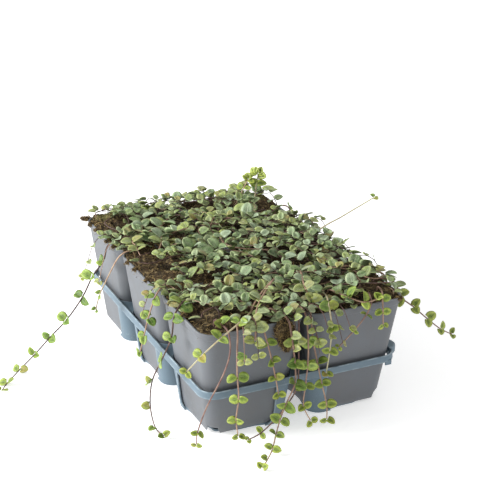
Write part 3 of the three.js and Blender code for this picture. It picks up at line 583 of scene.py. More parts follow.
# %% Finger lug and its small tongue
# Height, radius, and how pale that edge is, from wear and from a painted highlight
LUG = [(39.6, 9.2, 0.6), (40.0, 9.8, 0.5), (41, 10, 0.2), (45.0, 10, 0.2), (45.8, 9.8, 0.9), (46.3, 9.1, 1),
       (46.5, 7.8, 0.4)]
LUG_X, LUG_Y, LUG_STEPS = 86.6, -116, 19
TONGUE, TONGUE_LEVELS = (80, -134.9), [(36.1, 0.25), (36.5, 0), (40.5, 0)]


def lug_ring(z, radius):
    angles = np.linspace(-math.pi / 2, math.pi / 2, LUG_STEPS)
    return np.stack([LUG_X + radius * np.cos(angles), LUG_Y + radius * np.sin(angles),
                     np.full(LUG_STEPS, z)], 1)


tray_parts.add_loft(LUG, lug_ring, closed=False)
tray_parts.add(*loft([rounded_ring(3 - inset, 0.7 - inset, 0.4, z, TONGUE)
                      for z, inset in TONGUE_LEVELS]), 0.3)

tray = mesh_object("carrying_tray", np.concatenate(tray_parts.points), tray_parts.faces, finish=tray_finish)
keep_numbers(tray, edge=np.concatenate(tray_parts.edge))
sharpen(tray)
print("tray:", triangles(tray), "triangles")

# %% [markdown]
# ## Potting soil
#
# Each pot is filled with dark fibrous soil, domed a little, lumpy, and ragged where it meets the rim.
# Its dome follows the same formula as the CAD solid, because the stems of the plant stand on it. The
# lumps are added with layered noise: large ones to break up the dome, small ones for the crumbly
# skin, and a few deep pits, which the finish paints nearly black as shade. Rings of the pot's own
# rounded square, each one smaller than the last, give an even mesh without a seam.

# %% The ground that the plant creeps over
POT_HALF = 45
SOIL_EDGE, SOIL_CROWN, SOIL_LUMP = 95.2, 6, 0.7
BLOCK_X, BLOCK_Y = COLUMNS * PITCH / 2, ROWS * PITCH / 2
# Patches of soil that show between the leaves: x, y and reach
SHOWN = np.array([
    [-76, 30, 15], [-72, 5, 17], [-74, -20, 15], [-56, 40, 9], [-53, 12, 10], [-46, -12, 10], [-48, -36, 13],
    [-30, -30, 8], [-72, -92, 13], [-66, -116, 16], [-50, -102, 9], [-50, -122, 9], [-74, 124, 15],
    [-78, 104, 13], [-60, 116, 11], [15, 124, 13], [80, 100, 13], [72, 84, 9], [85, 118, 10], [84, -90, 11],
    [74, -112, 13], [54, -46, 7], [53, 43, 7], [50, -120, 8], [64, -124, 8]], float)


def nearest_cell(x, y):
    """Centre of the pot under each place."""
    column = np.clip(np.floor((x + BLOCK_X) / PITCH), 0, COLUMNS - 1)
    row = np.clip(np.floor((y + BLOCK_Y) / PITCH), 0, ROWS - 1)
    return (column - 0.5) * PITCH, (row - 1) * PITCH


def soil_height(x, y):
    """The domed, slightly lumpy top of the soil."""
    cx, cy = nearest_cell(x, y)
    reach = np.maximum(np.abs(x - cx), np.abs(y - cy)) / POT_HALF
    lumps = np.sin(x * 0.23 + y * 0.11) * np.cos(y * 0.19 - x * 0.07)
    return SOIL_EDGE + SOIL_CROWN * (1 - reach * reach) + SOIL_LUMP * lumps


def ground(x, y):
    """What the plant may not sink below: the soil, the rims of the pots, or the floor outside."""
    cx, cy = nearest_cell(x, y)
    reach = np.maximum(np.abs(x - cx), np.abs(y - cy))
    inside = np.where(reach > POT_HALF - WALL - 1.5, RIM, soil_height(x, y))
    return np.where((np.abs(x) > BLOCK_X + 1) | (np.abs(y) > BLOCK_Y + 1), 0, inside)


print("soil in a pot's middle", round(float(soil_height(PITCH / 2, 0.0)), 2), "mm")

# %% Lumps and pits
# Mossy places: x, y and reach. Heaps: x, y, reach and height
MOSSY = [(-77, 128, 12), (-60, 131, 10), (84, 118, 12), (52, 124, 8), (78, 40, 7), (-44, 96, 6), (84, -86, 8),
         (-46, -116, 6)]
HEAPS = [(-74, 126, 13, 3.5), (-54, 131, 9, 2.5), (80, 112, 13, 4.5), (15, 128, 11, 2.5), (82, -92, 12, 7),
         (83, -108, 8, 5), (-80, 28, 12, 2), (-78, -14, 12, 1.5)]
SOIL_GAP, UNDER_WALL, INNERMOST, SOIL_RINGS, TOP_FROM = 0.3, -2.0, 0.02, 38, 93.5


def roughened(x, y, cell):
    """Height of the finished soil at one place, and how far it lies above the smooth dome."""
    smooth = float(soil_height(np.array(x), np.array(y)))
    across, along = (x - cell[0]) / POT_HALF, (y - cell[1]) / POT_HALF
    reach = max(abs(across), abs(along))
    # Soil is heaped against the walls, mostly at the left and at the back
    heap = 3.2 * max(0.0, (reach - 0.72) / 0.28) ** 1.5 * (1.0 if across < -0.6 or along > 0.6 else 0.35)
    big = noise.fractal(Vector((x, y, 3)) / 11, 1.0, 2.0, 3) * 1.9
    small = noise.fractal(Vector((x, y, 9)) / 2.6, 0.7, 2.1, 3) * 0.8
    pit = max(0.0, noise.noise(Vector((x, y, 20)) / 7) - 0.28) * 9
    heaps = sum(h * math.exp(-((x - hx) ** 2 + (y - hy) ** 2) / r ** 2) for hx, hy, r, h in HEAPS)
    change = big + small - pit + heaps
    return smooth + heap + change, change


def make_soil(name, cell, finish):
    wall = pot_ring(SOIL_EDGE, -WALL - SOIL_GAP, cell)
    rings = [pot_ring(z, -WALL - SOIL_GAP, cell) for z in (12, 60, 92)]
    # The soil's sides under the rim are marked deep, so the finish paints them dark as shade
    deep = [np.full(len(wall), UNDER_WALL) for _ in rings]
    for share in np.linspace(1, INNERMOST, SOIL_RINGS):
        ring = wall.copy()
        ring[:, :2] = np.array(cell) + (wall[:, :2] - np.array(cell)) * share
        ring[:, 2], change = np.transpose([roughened(x, y, cell) for x, y, _ in ring])
        rings.append(ring)
        deep.append(change)
    soil = mesh_object(name, *loft(rings), finish=finish)
    places = np.concatenate(rings)
    moss = sum(np.exp(-(np.hypot(places[:, 0] - x, places[:, 1] - y) / r) ** 2) for x, y, r in MOSSY)
    keep_numbers(soil, deep=np.concatenate(deep), top=places[:, 2] > TOP_FROM,
                 moss=np.clip(moss, 0, 1), tint=0.8)
    return soil


print("lumps of", SOIL_RINGS, "rings in each pot")

# %% [markdown]
# ## Finish of the soil
#
# Peat soil is warm brown on its lumps, with pale and reddish bits all through it, and its pits are
# painted nearly black as shade. One shader group serves the soil, its loose crumbs and its fibres: it
# mixes the browns by noise, paints shade where the mesh marks it as deep, and tints some places with moss.

# %% Peat group
given = start_group("peat", "Shader", {"Place": "Vector", "Deep": 0.0, "Moss": 0.0, "Tint": 0.5})
coarse = cloud(given["Place"], 150.0, 5.0, 0.7)
small = cloud(given["Place"], 700.0, 4.0, 0.7)
bits = node("ShaderNodeTexVoronoi", {"Vector": given["Place"], "Scale": 520.0})["Color"]
bit = node("ShaderNodeSeparateColor", {"Color": bits})[0]
brown = mixed(stretched(coarse, 0.35, 0.68), paint(24, 20, 15), paint(84, 72, 54))
hand_out(Height=plus(coarse, small), Colour=layered(
    brown, (stretched(small, 0.5, 0.72), (124, 104, 72)),
    (stretched(bit, 0.78, 0.88, 0.0, 0.65), (156, 136, 98)),
    (stretched(bit, 0.16, 0.1, 0.0, 0.5), (90, 66, 48)),
    (stretched(given["Tint"], 0.0, 1.0, 0.3, 0.0), (20, 14, 11)),
    # Painted shade: nearly black where the soil lies below its dome and on its sides under the rim
    (stretched(given["Deep"], 0.4, -1.9, 0.0, 0.85), (16, 11, 8)),
    (stretched(times(given["Moss"], small), 0.2, 0.5, 0.0, 0.6), (146, 144, 88))))


# %% Soil, crumbs and fibres
def soil_finish(name, lighter=None, share=0.0):
    material, surface, place = new_material(name, Roughness=0.93, Specular_IOR_Level=0.2)
    numbers = {label: attribute(label.lower()) for label in ("Deep", "Moss", "Tint")}
    peat = placed("peat", {"Place": place, **numbers})
    colour = peat["Colour"]
    if lighter:
        colour = layered(colour, (stretched(numbers["Tint"], 0.15, 0.95, 0.1, share), lighter))
    finish_with(surface, colour, None, peat["Height"], 0.7, 0.0012)
    return material


soil_looks = soil_finish("peat_soil")
crumb_looks = soil_finish("peat_crumbs", (104, 84, 56), 0.5)
fibre_looks = soil_finish("coir_fibres", (176, 150, 98), 0.95)
soils = [make_soil("potting_soil_" + name, cell, soil_looks) for name, cell in zip(CELL_NAMES, CELLS)]
print("soil in one pot:", triangles(soils[0]), "triangles")

# %% [markdown]
# ## Crumbs and fibres
#
# Thousands of crumbs and coir strands lie on the soil. Placing them by hand is out of the question,
# so one Geometry Nodes tree scatters both: it spreads points over the soil by density, puts a random
# shape of a small collection on each, turned and sized at random with a fixed seed, keeps a random
# tint for the shader, and makes real mesh of it all. The same tree with other inputs covers the
# rims where soil was spilled and the clump of roots that hangs over the front rim.

# %% Shapes to scatter
def shape_set(name, shapes):
    collection = bpy.data.collections.new(name)
    for number, (points, faces) in enumerate(shapes):
        label = "%s_%d" % (name, number)
        mesh = bpy.data.meshes.new(label)
        mesh.from_pydata([tuple(p) for p in points], [], faces)
        collection.objects.link(bpy.data.objects.new(label, mesh))
    return collection


def crumb_shape(number):
    points, faces = ball(1)
    rough = [p * (1 + 0.75 * noise.noise(p * 1.7 + Vector((number * 7, 0, 0)))) for p in points]
    return [(p.x, p.y * 0.85, p.z * 0.65) for p in rough], faces


def strand_shape(number, steps=6):
    rings = []
    for along in np.linspace(0, 1, steps + 1):
        x, y, z = (along - 0.5, 0.16 * math.sin(3.1 * along + number),
                   0.1 * math.sin(4.2 * along + 2 * number) + 0.06)
        thick = 0.027 * (1 - 0.75 * abs(along - 0.4))
        rings.append([(x, y + thick * math.cos(a), z + thick * math.sin(a)) for a in (0, 2.1, 4.2)])
    return loft(np.array(rings))


crumb_set = shape_set("crumb", [crumb_shape(n) for n in range(4)])
strand_set = shape_set("strand", [strand_shape(n) for n in range(5)])


# %% Helpers that run a tree, join meshes, and stand for what several trees have in common
def grown_mesh(name, carrier, tree_name, **values):
    """Runs a tree on a carrier object and returns the result as a plain object at the origin."""
    modifier = carrier.modifiers.new(name, "NODES")
    modifier.node_group = bpy.data.node_groups[tree_name]
    sockets = {item.name: item.identifier for item in modifier.node_group.interface.items_tree
               if item.in_out == "INPUT"}
    for label, value in values.items():
        modifier[sockets[label]] = value
    carrier.update_tag()
    made = evaluated_mesh(carrier)
    carrier.modifiers.remove(modifier)
    made.name = name
    return new_object(name, made)


def joined(name, parts):
    """One object from several."""
    with bpy.context.temp_override(active_object=parts[0], object=parts[0], selected_objects=parts,
                                   selected_editable_objects=parts):
        bpy.ops.object.join()
    parts[0].name = parts[0].data.name = name
    return parts[0]


def stored(name, kind="FLOAT"):
    return node("GeometryNodeInputNamedAttribute", {"Name": name}, data_type=kind)[0]


def chance(kind, lowest, highest, seed):
    """A random vector, number or whole number for each point."""
    first = {"FLOAT_VECTOR": 0, "FLOAT": 2, "INT": 4}[kind]
    return node("FunctionNodeRandomValue", {first: lowest, first + 1: highest, 8: seed},
                data_type=kind)[first // 2]


def turned(rotation, angles):
    """Adds a turn about the axes that a rotation has already turned."""
    own_turn = node("FunctionNodeEulerToRotation", {0: angles})[0]
    return node("FunctionNodeRotateRotation", {0: rotation, 1: own_turn}, rotation_space="LOCAL")[0]


def finished(geometry):
    real = node("GeometryNodeRealizeInstances", {0: geometry})[0]
    return node("GeometryNodeSetMaterial", {"Geometry": real, "Material": given["Finish"]})[0]


def shapes_on(points, kinds, kind_seed, rotation, size, tint_seed):
    """Puts a random shape of the collection on each point, and keeps a random tint for the shader."""
    shapes = node("GeometryNodeCollectionInfo", {0: given["Shapes"], 1: True, 2: True})[0]
    put = node("GeometryNodeInstanceOnPoints", {
        "Points": points, "Instance": shapes, "Pick Instance": True,
        "Instance Index": chance("INT", 0, kinds - 1, kind_seed), "Rotation": rotation, "Scale": size})[0]
    tint = chance("FLOAT", 0.0, 1.0, tint_seed)
    return finished(node("GeometryNodeStoreNamedAttribute", {"Geometry": put, "Name": "tint", "Value": tint},
                         data_type="FLOAT", domain="INSTANCE")[0])


# %% The scattering tree
given = start_group("scatter", "Geometry", {
    "Geometry": "Geometry", "Shapes": "Collection", "Density": 40000.0, "Smallest": 0.0008, "Largest": 0.003,
    "Tilt": 3.1, "Seed": 3, "Finish": "Material"})
on_top = node("FunctionNodeCompare", {0: stored("top"), 1: 0.5},
              operation="GREATER_THAN", data_type="FLOAT")[0]
spots = node("GeometryNodeDistributePointsOnFaces", {
    "Mesh": given["Geometry"], "Selection": on_top, "Density": given["Density"], "Seed": given["Seed"]})
back_tilt = times(given["Tilt"], -1.0)
lowest = node("ShaderNodeCombineXYZ", {0: back_tilt, 1: back_tilt, 2: -3.14})[0]
highest = node("ShaderNodeCombineXYZ", {0: given["Tilt"], 1: given["Tilt"], 2: 3.14})[0]
turn = turned(spots["Rotation"], chance("FLOAT_VECTOR", lowest, highest, given["Seed"]))
luck = chance("FLOAT", 0.0, 1.0, plus(given["Seed"], 1.0))
size = stretched(sums("POWER", luck, 2.6), 0.0, 1.0, given["Smallest"], given["Largest"])
hand_out(Geometry=shapes_on(
    spots["Points"], 10, plus(given["Seed"], 2.0), turn, size, plus(given["Seed"], 3.0)))

# %% Where soil was spilled over the rims, and the clump of roots at the front
# Spills are given by x, y, z and reach, lumps of roots also by their height
SPILLS = [
    (-92, 137, 98.4, 6), (-91, 120, 98.4, 5), (-91.5, 104, 98.4, 4),
    (-91.5, 75, 98.4, 4), (-91.5, 60, 98.4, 3),
    (-91, 22, 98.4, 4), (-91, 5, 98.4, 4), (-91, -20, 98.4, 3.5), (-91, -72, 98.4, 3), (-90, -96, 98.4, 4),
    (0, 48, 98.4, 6), (-2, -46, 98.4, 5), (85, -136, 98.4, 4), (90, -122, 98.4, 4), (40, 138, 98.4, 4),
    (70, 138, 98.4, 4), (91, 66, 98.4, 4), (91, 30, 98.4, 4), (-83, 46.5, 98.8, 5), (-73, 46, 98.9, 7),
    (-62, 47, 98.8, 6), (-51, 46, 98.8, 6), (-84, -46, 98.8, 5), (-70, -46.5, 98.8, 6), (-58, -46, 98.8, 6),
    (-46, -47, 98.8, 6), (-34, -46, 98.8, 6)]
ROOTS = [(-25, -141, 93, 7, 8), (-22, -141, 84, 6, 8), (-18, -140.6, 89, 4.5, 8), (-20, -140.8, 77, 3.5, 5)]


def soil_lump(x, y, z, radius, height):
    """A small low mound, or a flat hanging clump where the height is larger than the radius."""
    points, faces = ball(3)
    flat = 0.3 if height > radius else 1
    rough = [1 + 0.35 * noise.fractal(p * 1.6 + Vector((x, y, z)), 0.8, 2.0, 3) for p in points]
    return [(x + p.x * radius * r, y + p.y * radius * r * flat, z + p.z * height * r)
            for p, r in zip(points, rough)], faces


def soil_lumps(name, lumps):
    parts = Gathered()
    for lump in lumps:
        parts.add(*soil_lump(*lump), 0.0)
    piece = mesh_object(name, np.concatenate(parts.points), parts.faces, finish=soil_looks)
    keep_numbers(piece, top=1, tint=0.6)
    return piece


spilled = soil_lumps("spilled_soil", [(x, y, z - 1.0, r * 0.8, 1.3) for x, y, z, r in SPILLS])
clump = soil_lumps("root_clump", ROOTS)
print("spilled:", triangles(spilled), " clump:", triangles(clump), "triangles")


# %% Scatter crumbs and fibres on all of it
def scattered(name, shapes, finish, beds):
    labels = "Density", "Smallest", "Largest", "Tilt", "Seed"
    return joined(name, [
        grown_mesh(name, bed, "scatter", Shapes=shapes, Finish=finish, **dict(zip(labels, values)))
        for bed, *values in beds])


crumbs = scattered("soil_crumbs", crumb_set, crumb_looks, [
    *[(soil, 70000.0, 0.0004, 0.0019, 3.1, 11 + number) for number, soil in enumerate(soils)],
    (spilled, 380000.0, 0.0004, 0.0014, 3.1, 51), (clump, 120000.0, 0.0004, 0.0014, 3.1, 52)])
fibres = scattered("soil_fibres", strand_set, fibre_looks, [
    *[(soil, 56000.0, 0.004, 0.011, 0.45, 31 + number) for number, soil in enumerate(soils)],
    (spilled, 420000.0, 0.003, 0.009, 0.7, 61), (clump, 520000.0, 0.003, 0.009, 0.7, 62)])
print("crumbs:", triangles(crumbs), " fibres:", triangles(fibres), "triangles")

# %% [markdown]
# ## How the plant grows
#
# A creeping stem is a chain of short straight pieces. At the end of each piece sits a pair of
# leaves, one to each side. The CAD model grows such stems by a rule with seeded draws, and the same
# rule runs again here, so the fine leaves land just where the plain ones were. Then the rule goes on
# with many thinner stems until the mat is as dense as the real one. The rule needs many distance
# tests, so leaves and pieces of stem are kept in long arrays, and one leaf is tested against all
# its neighbours in one go.

# %% A seeded draw
def seeded(seed):
    state = seed

    def draw():
        nonlocal state
        state = (state * 1664525 + 1013904223) % 4294967296
        return state / 4294967296

    for _ in range(4):
        draw()
    return draw


def spread(draw, width):
    return width * (draw() - 0.5)


def unit(a):
    return a / math.sqrt(a @ a)


def cross(a, b):
    return np.array([a[1] * b[2] - a[2] * b[1], a[2] * b[0] - a[0] * b[2], a[0] * b[1] - a[1] * b[0]])


print("first draws of seed 7:", [round(draw(), 3) for draw in [seeded(7)] * 3])

# %% Leaves and pieces of stem in long arrays
UP = np.array([0.0, 0.0, 1.0])
# Where a blade is tested, in shares of its radius, and where a piece of stem is, in shares of its length
SPOKES = [(0, 0)]
for i in range(12):
    around = 2 * math.pi * i / 12
    SPOKES.append((math.cos(around), math.sin(around)))
    if i % 2:
        SPOKES.append((math.cos(around) / 2, math.sin(around) / 2))
SPOKES = np.array(SPOKES)
ALONG = np.arange(7) / 6


class Grown:
    """All that has grown so far: leaf blades as round discs, and pieces of stem as straight rods."""

    def __init__(self, room=9000):
        self.leaves = self.rods = 0
        self.centre, self.face = np.zeros((room, 3)), np.zeros((room, 3))
        self.radius, self.root = np.zeros(room), np.zeros(room, int)
        self.disc = np.zeros((room, len(SPOKES), 3))
        self.start, self.end = np.zeros((room, 3)), np.zeros((room, 3))
        self.ends, self.stem = np.zeros((room, 2), int), np.zeros(room, int)
        self.line = np.zeros((room, len(ALONG), 3))

    def add_leaf(self, leaf):
        for fact in ("centre", "face", "radius", "root", "disc"):
            getattr(self, fact)[self.leaves] = leaf[fact]
        self.leaves += 1

    def add_rod(self, rod):
        for fact in ("start", "end", "ends", "stem", "line"):
            getattr(self, fact)[self.rods] = rod[fact]
        self.rods += 1


def to_disc(points, centre, face, radius):
    """Distances from points to round blades. Any shapes that numpy can match may be given."""
    away = points - centre
    off = (away * face).sum(-1)
    flat = np.sqrt(np.maximum(0, (away * away).sum(-1) - off * off))
    past = np.maximum(0, flat - radius)
    return np.sqrt(off * off + past * past)


def to_rod(points, start, end):
    """The same for straight pieces of stem."""
    along, away = end - start, points - start
    share = np.clip((away * along).sum(-1) / (along * along).sum(-1), 0, 1)
    gap = away - along * share[..., None]
    return np.sqrt((gap * gap).sum(-1))


print("a leaf is tested at", len(SPOKES), "points and a piece of stem at", len(ALONG))

# %% Is there room for a leaf, or for a piece of stem?
NARROWEST_FORK = 0.32
LEAF_OVER_GROUND, ROD_OVER_GROUND = 0.75, 0.6


def is_clear(spots, middle, reach, distances, gap, above, other_leaves, other_rods, grown):
    """Does a new thing keep the gap from the others, and are they as far from it?"""
    if (spots[:, 2] < ground(spots[:, 0], spots[:, 1]) + gap * above).any():
        return False
    start, end = grown.start[:grown.rods], grown.end[:grown.rods]
    middles, halves = (start + end) * 0.5, np.linalg.norm(end - start, axis=1) / 2
    for centres, reaches, others, their_spots, to_thing, facts in (
            (grown.centre[:grown.leaves], grown.radius[:grown.leaves], other_leaves, grown.disc,
             to_disc, (grown.centre, grown.face, grown.radius)),
            (middles, halves, other_rods, grown.line, to_rod, (grown.start, grown.end))):
        near = np.nonzero((np.linalg.norm(centres - middle, axis=1) <= reaches + reach + gap) & others)[0]
        if len(near) and ((to_thing(spots[:, None], *[fact[near] for fact in facts]) < gap).any()
                          or (distances(their_spots[near]) < gap).any()):
            return False
    return True


def leaf_is_clear(leaf, grown, gap):
    own = (grown.ends[:grown.rods] == leaf["root"]).any(1)
    for i in np.nonzero(own)[0]:
        along = grown.end[i] - grown.start[i]
        if unit(along if grown.ends[i, 0] == leaf["root"] else -along) @ leaf["axis"] > NARROWEST_FORK:
            return False
    blade = leaf["centre"], leaf["face"], leaf["radius"]
    return is_clear(leaf["disc"], leaf["centre"], leaf["radius"], lambda spots: to_disc(spots, *blade), gap,
                    LEAF_OVER_GROUND, grown.root[:grown.leaves] != leaf["root"], ~own, grown)


def rod_is_clear(rod, grown, gap):
    start, end = rod["start"], rod["end"]
    return is_clear(rod["line"], (start + end) * 0.5, math.dist(start, end) / 2,
                    lambda spots: to_rod(spots, start, end),
                    gap, ROD_OVER_GROUND, grown.root[:grown.leaves] != rod["ends"][0],
                    grown.stem[:grown.rods] != rod["stem"], grown)


# %% One piece of stem and one pair of leaves
# How far up and how far ahead a leaf may lean, and which turns and climbs a stem may try
STANCES = [(0.35, 0.15), (0.6, 0.15), (0.1, 0), (0.5, -0.2), (0.85, 0)]
TURNS, CLIMBS = [0, 0.3, -0.3, 0.6, -0.6, 1, -1], [0, 0.3, 0.6, 0.9]
STRIDE, STEEPEST, CEILING, MARGIN, CROWD_REACH, TURN_COST = 11, 0.4, 116, 4, 15, 2.5
ROOT_DEPTH, STALK = 12, 0.52
# A leaf hides soil that lies further back, the further the higher it is: the shift in x and y for each mm
VIEW_SHIFT, VIEW_LEVEL = np.array([1.066, 2.2]), 99
next_point = 0


def new_point(stem, place):
    """Each point of a stem gets a number of its own, by which leaves and stem pieces know it."""
    global next_point
    stem["points"].append(np.array(place, float))
    stem["ids"].append(next_point)
    next_point += 1


def make_rod(stem, start, end, ends):
    line = start + (end - start) * ALONG[:, None]
    return {"stem": stem["number"], "start": start, "end": end, "ends": ends, "line": line}


def lay_rod(stem, i, grown):
    """Adds the piece of stem that ends at the stem's point i."""
    points, ids = stem["points"], stem["ids"]
    grown.add_rod(make_rod(stem, points[i - 1], points[i], (ids[i - 1], ids[i])))


def light_on(stem, forward):
    """A stem that hangs looks to the side that it hangs on, the more so the more steeply it hangs."""
    if stem["look"] is None:
        return UP
    return unit(np.array([0, 0, 0.8]) + np.array(stem["look"], float) * (0.2 + max(0, -forward[2])))


def direction_at(points, i):
    after = unit(points[min(i + 1, len(points) - 1)] - points[min(i, len(points) - 2)])
    return unit(after + unit(points[i] - points[i - 1])) if i > 0 else after


def make_leaf(stem, i, forward, light, side, size, lift, lean):
    sideways = unit(cross(forward, light))
    above = cross(sideways, forward)
    level = sideways * (side * math.cos(lean)) + forward * math.sin(lean)
    axis = unit(level * math.cos(lift) + above * math.sin(lift))
    face = unit(light - axis * (light @ axis))
    across = cross(face, axis)
    centre = stem["points"][i] + axis * (size * STALK)
    disc = centre + (axis * SPOKES[:, :1] + across * SPOKES[:, 1:]) * (size / 2)
    return {"root": stem["ids"][i], "axis": axis, "face": face, "across": across, "size": size,
            "radius": size / 2, "centre": centre, "disc": disc, "from": stem["points"][i]}


def covers_soil(place):
    """Does a leaf or a stem hide soil that should show?"""
    spot = place[:2] + VIEW_SHIFT * (place[2] - VIEW_LEVEL)
    return bool((np.hypot(*(spot - SHOWN[:, :2]).T) < SHOWN[:, 2]).any())


def leaf_pair(stem, i, size, draw, grown):
    """One leaf to each side, in the first stance that finds room. Some leaves find none."""
    forward = direction_at(stem["points"], i)
    light = light_on(stem, forward)
    pair = []
    for side in (-1, 1):
        lean, lift = spread(draw, 0.3), spread(draw, 0.2)
        own = size * (1 + spread(draw, 0.24))
        tilted = unit(light + np.array([spread(draw, 0.5), spread(draw, 0.5), 0]))
        for up, ahead in STANCES:
            leaf = make_leaf(stem, i, forward, tilted, side, own, up + lift, ahead + lean)
            if stem["creeps"] and covers_soil(leaf["centre"]):
                continue
            if leaf_is_clear(leaf, grown, stem["leaf_gap"]):
                pair.append(leaf)
                break
    for leaf in pair:
        leaf["age"] = i / 10 if stem["creeps"] else i / (len(stem["points"]) - 1)
        grown.add_leaf(leaf)
        stem["leaves"].append(leaf)


def crowding(place, grown):
    leaves, rods = grown.centre[:grown.leaves, :2], (grown.start + grown.end)[:grown.rods, :2] * 0.5
    return sum(int((np.hypot(*(group - place[:2]).T) < CROWD_REACH).sum()) for group in (leaves, rods))


def next_rod(stem, here, stride, grown):
    """The next piece of a creeping stem: towards open ground if it can, else climbing."""
    for climb in CLIMBS:
        best = None
        for turn in TURNS:
            bearing = stem["heading"] + turn
            x, y = here[0] + stride * math.cos(bearing), here[1] + stride * math.sin(bearing)
            if abs(x) > BLOCK_X - MARGIN or abs(y) > BLOCK_Y - MARGIN:
                continue
            inland = min(1.0, 0.25 + min(BLOCK_X - abs(x), BLOCK_Y - abs(y)) / 30) if stem["shy"] else 1.0
            wanted = max(float(ground(x, y)), RIM) + stem["layer"] * inland
            slope = min(STEEPEST, max(-STEEPEST, (wanted - here[2]) / stride)) + climb
            run = stride / math.sqrt(1 + slope * slope)
            ahead = np.array([math.cos(bearing), math.sin(bearing), slope])
            rod = make_rod(stem, here, here + ahead * run, (stem["ids"][-1], next_point))
            if rod["end"][2] > CEILING or not rod_is_clear(rod, grown, stem["stem_gap"]):
                continue
            if stem["shy"] and covers_soil(rod["end"]):
                continue
            cost = crowding(here + ahead * (2 * run), grown) + TURN_COST * abs(turn)
            if best is None or cost < best[0]:
                best = (cost, rod, bearing)
        if best:
            return best
    return None


def plant_root(stem, x, y, rise, grown):
    surface = float(soil_height(x, y))
    new_point(stem, (x, y, surface - ROOT_DEPTH))
    new_point(stem, (x, y, surface + rise))
    lay_rod(stem, 1, grown)


def grow_stem(stem, grown, nodes):
    """One more piece of stem, then the leaves at the node that it grew from."""
    if stem["ended"]:
        return
    last, draw = len(stem["points"]) - 1, stem["draw"]
    stem["heading"] += spread(draw, 0.5)
    stride = STRIDE * (1 + spread(draw, 0.2))
    found = next_rod(stem, stem["points"][last], stride, grown)
    if found:
        _, rod, stem["heading"] = found
        grown.add_rod(rod)
        new_point(stem, rod["end"])
    stem["ended"] = not found or last > nodes
    if last >= 2:
        leaf_pair(stem, last, stem["leaf"] * (1 - 0.035 * last), draw, grown)


def new_stem(name, number, **facts):
    """A stem may creep by the rule or follow a given route. A shy one keeps off the soil that shows."""
    return {"name": name, "number": number, "points": [], "ids": [], "leaves": [], "ended": False, "look": None,
            "creeps": True, "leaf_gap": 1.6, "stem_gap": 2.2, "shy": False, **facts}


print("a stem may try", len(TURNS) * len(CLIMBS), "ways on, and a leaf", len(STANCES), "stances")

# %% The routes of the runners
LEFT, FRONT, RIGHT = (-1, -0.35, 0), (-0.35, -1, 0), (1, -0.35, 0)
BACK, OPEN, TILTED = (0, 1, 0), (-0.4, -0.6, 0), (-1.4, -3, 0)
